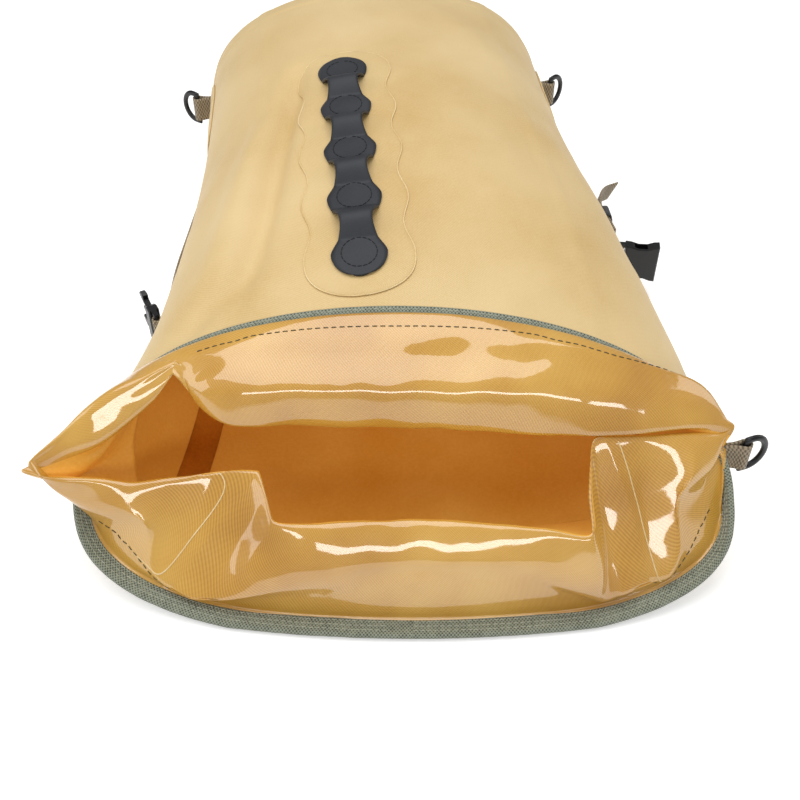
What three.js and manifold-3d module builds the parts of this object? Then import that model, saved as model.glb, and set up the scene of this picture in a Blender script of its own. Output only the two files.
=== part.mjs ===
// A roll-top motorcycle tail bag, lying on its back panel with its mouth open.
//
// Units are millimetres. +Z is up, +X is to the right of someone facing the mouth, and +Y runs from the
// mouth to the base. The origin is the middle of the back panel's underside, which rests on the seat.
//
// The shell is five welded panels of coated cloth with taped seams. A soft collar is sewn inside the mouth,
// a woven binding closes the rim, and webbing carries D-rings and the two halves of a side-release buckle.
import * as THREE from "three";
import { mergeVertices } from "three/addons/utils/BufferGeometryUtils.js";
import Module from "manifold-3d";

const wasm = await Module();
wasm.setup();

// ---------------------------------------------------------------- driving dimensions
const BODY_LENGTH = 540; // back panel, from the rim to the base
const BODY_HALF_WIDTH = 140; // filled body
const FLARE_END = 0.75; // the body widens towards the mouth from this share of its length
const BODY_HEIGHT = 170;
const BODY_WIDEST = 72; // height of the widest place of the filled body
const MOUTH_HALF_WIDTH = 200; // the mouth is drawn out flatter and wider than the body
const MOUTH_HEIGHT = 138;
const MOUTH_WIDEST = 48;
const MOUTH_SETBACK = 130; // the front edge of the mouth lies this far behind the back edge
const MOUTH_SHIFT = -15; // the open mouth sags to the left
const MOUTH_TURN = 0.088; // and turns a little, so that its right end comes forward: a slope
const MOUTH_BOW = 25; // its two ends lie this far behind its middle
const BASE_SETBACK = 8; // the top edge of the base leans this far outwards
const BASE_DROP = 12; // the body is this much lower at its base than at its middle
const BASE_ROUND = 30; // radius of the edge round the base
const BASE_BULGE = 4; // the base panel stands out this much at its middle
const RIM_LIFT = 3; // the rim's lowest edge clears the floor for the binding

const CLOTH = 1.2; // shell panels
const COLLAR_CLOTH = 1.0;
const TAPE = 0.5; // seam tape
const TAPE_HALF_WIDTH = 10;
const PATCH = 0.8; // welded patches
const CLEARANCE = 0.35; // between faces that touch on the real bag
const COLLAR_CLEARANCE = 0.5; // between the folded collar and the shell and binding
const SEAM_GAP = 0.3; // between panels at a welded seam

const BINDING_WIDTH = 11;
const BINDING_THICKNESS = 1.1;
const STITCH_DEPTH = 25; // from the rim to the line that holds the collar

const WEBBING_WIDTH = 25;
const WEBBING = 1.5;
const TAB_WIDTH = 20; // the narrower webbing that holds a D-ring
const TAB_LENGTH = 14; // from the shell to the ring's bar
const RING_WIRE = 2.2; // radius of a D-ring's wire
const RING_REACH = 15; // from its straight bar to the top of its bow
const BAR_RADIUS = 1.8; // bar of a buckle that the webbing is sewn round
const EYE_CLEARANCE = 0.4; // between a bar and the webbing round it

const CHAIN_X = -32; // centre line of the lash chain on the front panel
const CHAIN_START = -88; // first stitched lobe
const CHAIN_PITCH = 48;
const CHAIN_LOBES = 5;
const CHAIN_LOBE_HALF = 17.5;
const CHAIN_NECK_HALF = 10;
const CHAIN_THICKNESS = 1.8;
const CHAIN_STITCH_RADIUS = 11;
const CHAIN_ARCH = 8; // free height under each loop
const LASH_PATCH_MARGIN = 17; // beside the chain
const LASH_PATCH_END = 13; // beyond its ends

// ---------------------------------------------------------------- small helpers
const mix = (a, b, t) => a + (b - a) * t;
const clamp = (v, lo, hi) => Math.min(hi, Math.max(lo, v));
const vec = (x, y, z) => new THREE.Vector3(x, y, z);
const radians = (degrees) => (degrees * Math.PI) / 180;
const signedPower = (v, p) => Math.sign(v) * Math.abs(v) ** p;
const steps = (from, to, count) => Array.from({ length: count + 1 }, (_, i) => mix(from, to, i / count));

const material = (color, roughness, metalness = 0) =>
  new THREE.MeshStandardMaterial({ color, roughness, metalness });
const shellCloth = material(0xdcc07a, 0.6);
const glossCloth = material(0xe0a83a, 0.2);
const tapeCloth = material(0xb06a1c, 0.45);
const bindingWeave = material(0x66705f, 0.8);
const strapWeave = material(0x8f8069, 0.8);
const lashRubber = material(0x33353c, 0.55);
const buckleAcetal = material(0x15161a, 0.4);

/** Indexed triangles turned into an outward-facing closed geometry. */
function closedGeometry(points, triangles) {
  let volume = 0;
  for (const [a, b, c] of triangles) volume += points[a].dot(points[b].clone().cross(points[c]));
  const facing = volume < 0 ? triangles.map(([a, b, c]) => [a, c, b]) : triangles;
  const geometry = new THREE.BufferGeometry().setFromPoints(points);
  geometry.setIndex(facing.flat());
  return geometry;
}

/** Two grids of points, one above the other, closed into a sheet with thickness. A ring closes on itself. */
function sheet(upper, lower, ring = false) {
  const rows = upper.length;
  const columns = upper[0].length;
  const points = [...upper.flat(), ...lower.flat()];
  const top = (i, j) => i * columns + (j % columns);
  const under = (i, j) => rows * columns + top(i, j);
  const triangles = [];
  const quad = (a, b, c, d) => triangles.push([a, b, c], [a, c, d]);
  const lastColumn = ring ? columns : columns - 1;
  for (let i = 0; i + 1 < rows; i++) {
    for (let j = 0; j < lastColumn; j++) {
      quad(top(i, j), top(i, j + 1), top(i + 1, j + 1), top(i + 1, j));
      quad(under(i, j), under(i + 1, j), under(i + 1, j + 1), under(i, j + 1));
    }
  }
  for (let j = 0; j < lastColumn; j++) {
    quad(top(0, j), under(0, j), under(0, j + 1), top(0, j + 1));
    quad(top(rows - 1, j), top(rows - 1, j + 1), under(rows - 1, j + 1), under(rows - 1, j));
  }
  if (!ring) {
    for (let i = 0; i + 1 < rows; i++) {
      quad(top(i, 0), top(i + 1, 0), under(i + 1, 0), under(i, 0));
      quad(top(i, columns - 1), under(i, columns - 1), under(i + 1, columns - 1), top(i + 1, columns - 1));
    }
  }
  return closedGeometry(points, triangles);
}

/** A closed section carried round a closed path: sections[i] is the section's points at station i. */
function hoop(sections) {
  const count = sections.length;
  const sides = sections[0].length;
  const at = (i, j) => (i % count) * sides + (j % sides);
  const triangles = [];
  for (let i = 0; i < count; i++) {
    for (let j = 0; j < sides; j++) {
      triangles.push([at(i, j), at(i + 1, j), at(i + 1, j + 1)], [at(i, j), at(i + 1, j + 1), at(i, j + 1)]);
    }
  }
  return closedGeometry(sections.flat(), triangles);
}

/** A three.js geometry as a solid that can be joined and cut. */
function solid(geometry) {
  const bare = geometry.clone();
  bare.deleteAttribute("normal");
  bare.deleteAttribute("uv");
  const merged = mergeVertices(bare, 1e-4);
  return new wasm.Manifold(
    new wasm.Mesh({
      numProp: 3,
      vertProperties: new Float32Array(merged.attributes.position.array),
      triVerts: new Uint32Array(merged.index.array),
    }),
  );
}

/** A solid back as a geometry. */
function geometryOf(made) {
  const mesh = made.getMesh();
  const geometry = new THREE.BufferGeometry();
  geometry.setAttribute("position", new THREE.BufferAttribute(new Float32Array(mesh.vertProperties), 3));
  geometry.setIndex(new THREE.BufferAttribute(new Uint32Array(mesh.triVerts), 1));
  return geometry;
}

const join = (first, ...others) => geometryOf(others.reduce((all, g) => all.add(solid(g)), solid(first)));
const cut = (first, ...others) => geometryOf(others.reduce((all, g) => all.subtract(solid(g)), solid(first)));

/** A flat outline made into a plate, centred on z = 0. */
function plate(shape, thickness, bevel = 0) {
  const geometry = new THREE.ExtrudeGeometry(shape, {
    depth: thickness - 2 * bevel,
    bevelEnabled: bevel > 0,
    bevelThickness: bevel,
    bevelSize: bevel,
    bevelOffset: -bevel,
    bevelSegments: 1,
    curveSegments: 6,
  });
  return geometry.translate(0, 0, -(thickness - 2 * bevel) / 2);
}

/** A box from x0 to x1, y0 to y1 and z0 to z1. */
function block(x0, x1, y0, y1, z0, z1) {
  const geometry = new THREE.BoxGeometry(x1 - x0, y1 - y0, z1 - z0);
  return geometry.translate((x0 + x1) / 2, (y0 + y1) / 2, (z0 + z1) / 2);
}

/** An outline through points, straight from one to the next. */
const outline = (points) => new THREE.Shape(points.map(([x, y]) => new THREE.Vector2(x, y)));

/** Webbing seen on its edge: a smooth line through points, thickened, and extruded to the webbing's width. */
function ribbon(points, samples, thickness = WEBBING, width = WEBBING_WIDTH) {
  const line = new THREE.SplineCurve(points.map(([x, y]) => new THREE.Vector2(x, y)));
  const side = (sign) =>
    steps(0, 1, samples).map((t) => {
      const p = line.getPoint(t);
      const d = line.getTangent(t);
      return [p.x - (sign * d.y * thickness) / 2, p.y + (sign * d.x * thickness) / 2];
    });
  return plate(outline([...side(1), ...side(-1).reverse()]), width);
}

/** The sewn eye at the end of a webbing, round a bar at (x, y). */
function eye(x, y, barRadius, width = WEBBING_WIDTH) {
  const inner = barRadius + EYE_CLEARANCE;
  const shape = new THREE.Shape().absarc(x, y, inner + WEBBING, 0, 2 * Math.PI);
  shape.holes.push(new THREE.Path().absarc(x, y, inner, 0, 2 * Math.PI, true));
  return plate(shape, width);
}

// ---------------------------------------------------------------- the shell's surface
/** The body's size at station s, from 0 at the rim to 1 at the base. */
function station(s) {
  const flare = clamp(1 - s / FLARE_END, 0, 1);
  const rise = clamp(1 - s / 0.55, 0, 1) ** 2;
  const fall = clamp((s - 0.55) / 0.45, 0, 1) ** 2;
  const toBase = (1 - s) * BODY_LENGTH;
  const inset = toBase < BASE_ROUND ? BASE_ROUND - Math.sqrt(BASE_ROUND ** 2 - (BASE_ROUND - toBase) ** 2) : 0;
  const height = BODY_HEIGHT - (BODY_HEIGHT - MOUTH_HEIGHT) * rise - BASE_DROP * fall;
  return {
    sag: clamp(1 - s / 0.35, 0, 1) ** 2,
    halfWidth: mix(BODY_HALF_WIDTH, MOUTH_HALF_WIDTH, flare ** 1.5) - inset,
    widest: mix(BODY_WIDEST, MOUTH_WIDEST, flare),
    height,
    inset,
    upperPower: mix(2.3, 2.0, flare),
    lowerPower: mix(3.6, 3.2, flare),
    lift: RIM_LIFT * clamp(1 - s / 0.12, 0, 1) ** 2,
    low: -BODY_LENGTH / 2 + s * BODY_LENGTH,
    high: -BODY_LENGTH / 2 + MOUTH_SETBACK + s * (BODY_LENGTH - MOUTH_SETBACK + BASE_SETBACK),
  };
}

const FLAT_SINK = 2.5; // the section dips this far below the floor and is cut off there, which makes it flat

/** The shell's outer surface at angle phi (0 right, 90 top, 180 left, 270 underneath) and station s. */
function surface(phi, s) {
  const at = station(s);
  const c = Math.cos(radians(phi));
  const d = Math.sin(radians(phi));
  const power = d >= 0 ? at.upperPower : at.lowerPower;
  const radius = (d >= 0 ? at.height - at.widest : at.widest + FLAT_SINK) - at.inset;
  const across = signedPower(c, 2 / power);
  const x = MOUTH_SHIFT * at.sag + at.halfWidth * across;
  const z = Math.max(at.widest + radius * signedPower(d, 2 / power), at.inset);
  const up = clamp(z / at.height, 0, 1);
  const turned = at.sag * (MOUTH_BOW * across ** 2 - MOUTH_TURN * x);
  return vec(x, mix(at.low, at.high, up) + turned, z + at.lift * (1 - up));
}

/** The surface's outward normal at phi and s. */
function normalAt(phi, s) {
  const e = 0.004;
  const around = surface(phi + 1.5, s).sub(surface(phi - 1.5, s));
  const along = surface(phi, Math.min(s + e, 1)).sub(surface(phi, Math.max(s - e, 0)));
  return around.cross(along).negate().normalize();
}

/** A point out from the shell's surface by distance, or in from it where distance is negative. */
const off = (phi, s, distance) => surface(phi, s).addScaledVector(normalAt(phi, s), distance);

/** A sheet that follows the shell between two depths, over a list of angles and stations. */
function skin(angles, stations, outer, inner, ring = false) {
  const grid = (depth) => stations.map((s) => angles.map((phi) => off(phi, s, depth)));
  return sheet(grid(outer), grid(inner), ring);
}

/** The place on the upper half of the shell straight above (x, y), and the normal there. */
function onTop(x, y) {
  let lo = 0;
  let hi = 1;
  let phi = 90;
  for (let i = 0; i < 40; i++) {
    const s = (lo + hi) / 2;
    const at = station(s);
    const share = clamp((x - MOUTH_SHIFT * at.sag) / at.halfWidth, -1, 1);
    phi = (Math.acos(signedPower(share, at.upperPower / 2)) * 180) / Math.PI;
    if (surface(phi, s).y < y) lo = s;
    else hi = s;
  }
  return { point: surface(phi, lo), normal: normalAt(phi, lo) };
}

// ---------------------------------------------------------------- shell panels and seam tapes
const FRONT_SEAM = 52; // angle of the seams between the front panel and the side panels
const BACK_SEAM = -40; // angle of the seams between the side panels and the back panel
const END_STATION = 0.997;
const STATIONS = [0, 0.05, 0.12, 0.2, 0.3, 0.42, 0.55, 0.65, FLARE_END, 0.84, 0.942, 0.965, 0.985, END_STATION];
const halfGap = 0.12; // degrees, half of a seam's gap

const panelAngles = {
  front_panel: steps(FRONT_SEAM + halfGap, 180 - FRONT_SEAM - halfGap, 12),
  back_panel: steps(180 - BACK_SEAM + halfGap, 360 + BACK_SEAM - halfGap, 14),
  right_side_panel: steps(BACK_SEAM + halfGap, FRONT_SEAM - halfGap, 12),
  left_side_panel: steps(180 - FRONT_SEAM + halfGap, 180 - BACK_SEAM - halfGap, 12),
};

/** The panels' angles one after another, so that what lies on several panels has the same facets. */
const ringAngles = ["right_side_panel", "front_panel", "left_side_panel", "back_panel"].flatMap((name) =>
  panelAngles[name].slice(0, -1),
);

/** The end cap, which closes the rounded edge and bulges a little. */
function basePanel() {
  const rim = ringAngles.map((phi) => surface(phi, END_STATION));
  const { low, high } = station(END_STATION);
  const middle = vec(0, mix(low, high, 0.45), BODY_HEIGHT * 0.45);
  const disc = (push) =>
    [1, 0.72, 0.4, 0.02].map((share) =>
      rim.map((p) => middle.clone().lerp(p, share).add(vec(0, push + BASE_BULGE * (1 - share ** 2), 0))),
    );
  return sheet(disc(SEAM_GAP + CLOTH), disc(SEAM_GAP), true);
}

const TAPE_DEPTH = CLOTH + 2 * CLEARANCE;

const tapeAngles = (seam, s) => {
  const here = surface(seam, s).distanceTo(surface(seam + 1, s));
  const half = TAPE_HALF_WIDTH / Math.max(here, 0.8);
  return [seam - half, seam - half / 2, seam, seam + half / 2, seam + half];
};

/** Tape welded inside along a seam, with the same width all the way. */
function seamTape(seam) {
  const stations = [...STATIONS.filter((s) => s >= 0.12 && s < 0.9), 0.9];
  const grid = (depth) => stations.map((s) => tapeAngles(seam, s).map((phi) => off(phi, s, depth)));
  return sheet(grid(-TAPE_DEPTH), grid(-TAPE_DEPTH - TAPE));
}

/** Tape that runs round inside, just before the edge of the base, past the ends of the long tapes. */
const baseTape = () => skin(ringAngles, [0.905, 0.938], -TAPE_DEPTH, -TAPE_DEPTH - TAPE, true);

// ---------------------------------------------------------------- binding and collar
/** Woven tape folded round the rim, as a U with the shell's edge between its legs. */
function mouthBinding() {
  const t = BINDING_THICKNESS;
  const outside = CLEARANCE;
  const inside = -(CLOTH + CLEARANCE);
  const web = -CLEARANCE;
  const profile = [
    [web - t, outside + t],
    [BINDING_WIDTH, outside + t],
    [BINDING_WIDTH, outside],
    [web, outside],
    [web, inside],
    [BINDING_WIDTH, inside],
    [BINDING_WIDTH, inside - t],
    [web - t, inside - t],
  ];
  return hoop(
    ringAngles.map((phi) => {
      const rim = surface(phi, 0);
      const normal = normalAt(phi, 0);
      const along = off(phi, STATIONS[1], 0).sub(rim).normalize();
      return profile.map(([a, n]) => rim.clone().addScaledVector(along, a).addScaledVector(normal, n));
    }),
  );
}

/** A place in the mouth's own plane: across it, up it (0 at its low edge, 1 at its high edge), and out of it. */
function inMouth(across, up, out) {
  const low = surface(270, 0);
  const high = surface(90, 0);
  const slope = high.clone().sub(low);
  const outward = vec(0, -slope.z, slope.y).normalize();
  const x = MOUTH_SHIFT + across * MOUTH_HALF_WIDTH;
  const y = low.y + MOUTH_BOW * Math.min(across ** 2, 1) - MOUTH_TURN * (x - MOUTH_SHIFT);
  return vec(x, y, low.z).addScaledVector(vec(0, slope.y, slope.z), up).addScaledVector(outward, out);
}

// The collar's roll and its lip are closed lines. Each starts at the right end and runs anticlockwise over the top.
// A point is (across as a share of the half width, up as a share of the mouth, out of the mouth in mm).
const collarRoll = [
  [0.93, 0.42, 12], [0.8, 0.72, 17], [0.4, 0.86, 20], [0, 0.88, 20], [-0.4, 0.86, 20], [-0.72, 0.8, 18],
  [-1.04, 0.52, 11], [-0.9, 0.26, 13], [-0.6, 0.13, 18], [-0.2, 0.08, 21], [0.2, 0.08, 21], [0.6, 0.12, 18],
];
const collarLip = [
  [0.9, 0.47, 26], [0.74, 0.54, 27], [0.4, 0.6, 25], [0, 0.62, 25], [-0.4, 0.61, 26], [-0.72, 0.62, 26],
  [-1.12, 0.5, 15], [-0.84, 0.38, 25], [-0.5, 0.33, 25], [-0.2, 0.32, 25], [0.2, 0.32, 25], [0.62, 0.36, 26],
];
const COLLAR_SIDES = 48;

/** A closed smooth line through places in the mouth, as evenly spaced points. */
function mouthLine(places) {
  const curve = new THREE.CatmullRomCurve3(places.map((p) => inMouth(...p)), true, "centripetal");
  return curve.getSpacedPoints(COLLAR_SIDES).slice(0, -1);
}

/** The collar's rows of points from its seam, under the binding, out to its roll and in again to its lip. */
function collarRows() {
  const roll = mouthLine(collarRoll);
  const lip = mouthLine(collarLip);
  const underPanel = CLOTH + COLLAR_CLEARANCE + COLLAR_CLOTH / 2;
  const underBinding = underPanel + BINDING_THICKNESS + 6 * COLLAR_CLEARANCE;
  const shares = [0, 0.25, 0.5, 0.625, 0.75, 0.875, 1];
  const rows = shares.map(() => []);
  for (let j = 0; j < COLLAR_SIDES; j++) {
    const phi = nearestAngle(roll[j]);
    const seam = off(phi, STITCH_DEPTH / BODY_LENGTH, -underPanel);
    const inner = off(phi, (BINDING_WIDTH + 2) / BODY_LENGTH, -underBinding);
    const throat = off(phi, 0.001, -underBinding - 1.5);
    const line = new THREE.CatmullRomCurve3([seam, inner, throat, roll[j], lip[j]], false, "centripetal");
    shares.forEach((t, i) => rows[i].push(line.getPoint(t)));
  }
  return rows;
}

/** The angle round the rim that lies nearest to a point. */
function nearestAngle(point) {
  let best = 0;
  let least = Infinity;
  for (let phi = -90; phi < 270; phi += 1) {
    const away = surface(phi, 0).distanceTo(point);
    if (away < least) [best, least] = [phi, away];
  }
  return best;
}

/** One sector of the collar, from column first to column last, as a sheet of cloth. */
function collarSector(rows, first, last) {
  const columns = Array.from({ length: last - first + 1 }, (_, k) => first + k);
  const at = (i, j) => rows[clamp(i, 0, rows.length - 1)][(j + 2 * COLLAR_SIDES) % COLLAR_SIDES];
  const face = (side) =>
    rows.map((_, i) =>
      columns.map((j, k) => {
        const along = at(i + 1, j).clone().sub(at(i - 1, j));
        const around = at(i, j + 1).clone().sub(at(i, j - 1));
        const normal = along.clone().cross(around).normalize();
        const pull = k === 0 ? SEAM_GAP / 2 : k === columns.length - 1 ? -SEAM_GAP / 2 : 0;
        return at(i, j).clone().addScaledVector(normal, (side * COLLAR_CLOTH) / 2)
          .addScaledVector(around.normalize(), pull);
      }),
    );
  return sheet(face(1), face(-1));
}

// ---------------------------------------------------------------- lash chain on the front panel
const chainEnd = CHAIN_START + (CHAIN_LOBES - 1) * CHAIN_PITCH;

/** Half width of the chain at y: round lobes at each stitched ring, narrow necks between them. */
function chainHalfWidth(y) {
  const before = CHAIN_START - y;
  const after = y - chainEnd;
  const past = Math.max(before, after);
  if (past > 0) return CHAIN_LOBE_HALF * Math.sqrt(Math.max(1 - (past / CHAIN_LOBE_HALF) ** 2, 0.01));
  const phase = (y - CHAIN_START) / CHAIN_PITCH;
  const share = phase - Math.floor(phase);
  const swell = (1 + Math.cos(2 * Math.PI * share ** 0.8)) / 2;
  return mix(CHAIN_NECK_HALF, CHAIN_LOBE_HALF, swell);
}

/** Height of the chain's underside over the patch at y: flat on its stitched rings, arched between them. */
function chainLift(y) {
  const phase = (y - CHAIN_START) / CHAIN_PITCH;
  if (phase < 0 || y > chainEnd) return 0;
  const fromRing = (phase - Math.floor(phase)) * CHAIN_PITCH - CHAIN_STITCH_RADIUS;
  const free = CHAIN_PITCH - 2 * CHAIN_STITCH_RADIUS;
  if (fromRing < 0 || fromRing > free) return 0;
  return CHAIN_ARCH * Math.sin((Math.PI * fromRing) / free);
}

/** A strip laid on the front panel: rows along y, a half width and a lift for each row. */
function onPanel(rows, halfWidth, lift, thickness, columns) {
  const grid = (extra) =>
    rows.map((y) =>
      steps(-1, 1, columns).map((share) => {
        const { point, normal } = onTop(CHAIN_X + share * halfWidth(y), y);
        return point.addScaledVector(normal, lift(y) + extra);
      }),
    );
  return sheet(grid(thickness), grid(0));
}

const chainRows = steps(CHAIN_START - CHAIN_LOBE_HALF * 0.995, chainEnd + CHAIN_LOBE_HALF * 0.995, 58);
const patchReach = CHAIN_LOBE_HALF + LASH_PATCH_MARGIN;
const patchEnd = CHAIN_LOBE_HALF + LASH_PATCH_END;
const patchRows = steps(CHAIN_START - patchEnd * 0.995, chainEnd + patchEnd * 0.995, 34);

/** Half width of the welded patch: the chain's outline, moved out by the margin. */
function patchHalfWidth(y) {
  const past = Math.max(CHAIN_START - y, y - chainEnd);
  if (past > 0) return patchReach * Math.max(1 - (past / patchEnd) ** 2.6, 0.01) ** 0.5;
  const wave = Math.cos((2 * Math.PI * (y - CHAIN_START)) / CHAIN_PITCH);
  return patchReach - 2.5 * (1 - wave);
}

const patchBottom = CLEARANCE + 0.25;
const chainBottom = patchBottom + PATCH + CLEARANCE;

// ---------------------------------------------------------------- places on the side panels
/** The station at which the surface reaches y, at angle phi. */
function stationAt(phi, y) {
  let lo = 0;
  let hi = 1;
  for (let i = 0; i < 40; i++) {
    const s = (lo + hi) / 2;
    if (surface(phi, s).y < y) lo = s;
    else hi = s;
  }
  return lo;
}

/** A point off the side of the shell at y and z. side is 1 on the right and -1 on the left. */
function sidePoint(side, y, z, distance) {
  let lo = -60;
  let hi = 80;
  for (let i = 0; i < 30; i++) {
    const phi = (lo + hi) / 2;
    if (surface(phi, stationAt(phi, y)).z < z) lo = phi;
    else hi = phi;
  }
  const phi = side > 0 ? lo : 180 - lo;
  return off(phi, stationAt(phi, y), distance);
}

// ---------------------------------------------------------------- D-rings and their tabs
const ringHalf = TAB_WIDTH / 2 + RING_WIRE + 0.5;

/** A D-ring: a straight bar along Z at x = 0 and a bow that reaches out along +X. */
function dRing() {
  const corner = RING_REACH * 0.3;
  const bow = RING_REACH - corner;
  const path = [
    ...steps(-ringHalf, ringHalf, 3).map((z) => [0, z]),
    ...steps(0, 180, 10).map((a) => [corner + bow * Math.sin(radians(a)), ringHalf * Math.cos(radians(a))]),
  ];
  const count = path.length;
  return hoop(
    path.map(([x, z], i) => {
      const [x0, z0] = path[(i + count - 1) % count];
      const [x1, z1] = path[(i + 1) % count];
      const side = vec(z1 - z0, 0, x0 - x1).normalize();
      return steps(0, 315, 7).map((a) =>
        vec(x, RING_WIRE * Math.sin(radians(a)), z).addScaledVector(side, RING_WIRE * Math.cos(radians(a))),
      );
    }),
  );
}

/** A tab of doubled webbing from its root off the shell's side to its sewn eye round an upright bar at x. */
function ringTab(side, x, y, z, rootDistance) {
  const end = x - side * (RING_WIRE + EYE_CLEARANCE + 0.2);
  const face = (edge) =>
    [0, 1].map((t) =>
      steps(-1, 1, 6).map((u) => {
        const height = z + (u * TAB_WIDTH) / 2;
        const root = sidePoint(side, y + edge * WEBBING, height, rootDistance).x;
        return vec(mix(root, end, t), y + edge * WEBBING, height);
      }),
    );
  return join(sheet(face(1), face(-1)), eye(x, y, RING_WIRE, TAB_WIDTH).translate(0, 0, z));
}

// ---------------------------------------------------------------- side-release buckle
const BUCKLE_HALF = 16.5;
const BUCKLE_THICKNESS = 8;
const BAR_CLEAR = BAR_RADIUS + EYE_CLEARANCE + WEBBING + 0.6; // room for the webbing's eye round the bar
const BODY_START = BAR_CLEAR + 0.4;
const MALE_BODY = 11;
const PRONG_LENGTH = 20;
const PRONG_ROOT_GAP = 0.35;
const FEMALE_LENGTH = 26;
const FEMALE_WALL = 1.6;
const LUG = 3;

/** The end that the webbing is sewn round: a round bar between two lugs, at the origin, along Y. */
function barEnd() {
  const bar = new THREE.CylinderGeometry(BAR_RADIUS, BAR_RADIUS, 2 * BUCKLE_HALF - LUG, 12);
  const lug = (side) => block(-BAR_RADIUS, BODY_START + 1, side > 0 ? BUCKLE_HALF - LUG : -BUCKLE_HALF,
    side > 0 ? BUCKLE_HALF : -BUCKLE_HALF + LUG, -BAR_RADIUS, BAR_RADIUS);
  return [bar, lug(1), lug(-1)];
}

/** The male half without its two side prongs: bar end, body and the middle guide. */
function maleBody() {
  const body = plate(
    outline([
      [BODY_START, -BUCKLE_HALF], [BODY_START + 7, -BUCKLE_HALF + 0.5], [BODY_START + MALE_BODY, -BUCKLE_HALF + 3],
      [BODY_START + MALE_BODY, BUCKLE_HALF - 3], [BODY_START + 7, BUCKLE_HALF - 0.5], [BODY_START, BUCKLE_HALF],
    ]),
    BUCKLE_THICKNESS,
    0.8,
  );
  const guideStart = BODY_START + MALE_BODY - 1;
  const guide = plate(
    outline([
      [guideStart, -2.6], [guideStart + PRONG_LENGTH - 6, -2.2], [guideStart + PRONG_LENGTH - 3, -1.2],
      [guideStart + PRONG_LENGTH - 3, 1.2], [guideStart + PRONG_LENGTH - 6, 2.2], [guideStart, 2.6],
    ]),
    3,
  );
  return join(body, guide, ...barEnd());
}

/** One side prong with its barbed head, in the male half's frame: side is 1 or -1. */
function maleProng(side) {
  const x = BODY_START + MALE_BODY + PRONG_ROOT_GAP;
  const points = [
    [x, 6.6], [x + PRONG_LENGTH * 0.55, 8.2], [x + PRONG_LENGTH - 1, 9.6], [x + PRONG_LENGTH, 11.2],
    [x + PRONG_LENGTH - 2, 13.4], [x + PRONG_LENGTH * 0.6, 15.2], [x + PRONG_LENGTH * 0.5, 14.6],
    [x + PRONG_LENGTH * 0.48, 11.2], [x, 9.8],
  ];
  return plate(outline(side > 0 ? points : points.map(([px, py]) => [px, -py]).reverse()), 4.4, 0.5);
}

/** The female half: a hollow shell open at its far end, with side windows for the prongs' heads. */
function femaleBody() {
  const end = BODY_START + FEMALE_LENGTH;
  const waist = 2.4;
  const shell = plate(
    outline([
      [BODY_START, -BUCKLE_HALF], [BODY_START + 5, -BUCKLE_HALF + 0.6], [BODY_START + 10, -BUCKLE_HALF + waist],
      [end - 9, -BUCKLE_HALF + waist], [end - 4, -BUCKLE_HALF + 0.4], [end, -BUCKLE_HALF],
      [end, BUCKLE_HALF], [end - 4, BUCKLE_HALF - 0.4], [end - 9, BUCKLE_HALF - waist],
      [BODY_START + 10, BUCKLE_HALF - waist], [BODY_START + 5, BUCKLE_HALF - 0.6], [BODY_START, BUCKLE_HALF],
    ]),
    BUCKLE_THICKNESS + 1,
    0.8,
  );
  const halfHollow = BUCKLE_HALF - FEMALE_WALL - 0.8;
  const depth = (BUCKLE_THICKNESS + 1) / 2 - FEMALE_WALL;
  const hollow = block(BODY_START + 3, end + 1, -halfHollow, halfHollow, -depth, depth);
  const windows = block(BODY_START + 7, BODY_START + 17, -BUCKLE_HALF - 1, BUCKLE_HALF + 1, -depth, depth);
  return cut(join(shell, ...barEnd()), hollow, windows);
}

// ---------------------------------------------------------------- closure straps on the side panels
const STRAP_ANCHOR_Y = 185; // middle of the sewn end
const STRAP_SEWN = 46; // length sewn to the patch
const STRAP_HEIGHT = 32; // middle of the webbing
const SIDE_PATCH_LENGTH = 94;
const SIDE_PATCH_WIDTH = 88;
const SIDE_PATCH_HEIGHT = 60; // middle of the patch
const sidePatchBottom = CLEARANCE + 0.4; // the facets of the curved panel and of the patch differ a little
const anchorBottom = sidePatchBottom + PATCH + CLEARANCE;
const SIDE_FACET = 5; // height of a facet of what lies on a side

/** How far out the shell's side is over the webbing's width, at y. */
const sideReach = (y) => sidePoint(1, y, STRAP_HEIGHT + WEBBING_WIDTH / 2, 0).x;

/** A piece laid on a side panel round a height, with corners as square as the power is high. */
function onSide(side, height, length, width, bottom, thickness, power) {
  const columns = Math.ceil(width / SIDE_FACET);
  const shares = steps(-90, 90, 12).map((angle) => Math.sin(radians(angle))); // closer together at the corners
  const grid = (depth) =>
    shares.map((t) =>
      steps(-1, 1, columns).map((u) => {
        const half = (width / 2) * Math.max(1 - Math.abs(t) ** power, 0.02) ** (1 / power);
        return sidePoint(side, STRAP_ANCHOR_Y + (t * length) / 2, height + u * half, depth);
      }),
    );
  return sheet(grid(bottom + thickness), grid(bottom));
}

const sidePatch = (side) =>
  onSide(side, SIDE_PATCH_HEIGHT, SIDE_PATCH_LENGTH, SIDE_PATCH_WIDTH, sidePatchBottom, PATCH, 4);
const strapAnchor = (side) =>
  onSide(side, STRAP_HEIGHT, STRAP_SEWN, WEBBING_WIDTH, anchorBottom, WEBBING, 40);

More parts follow.
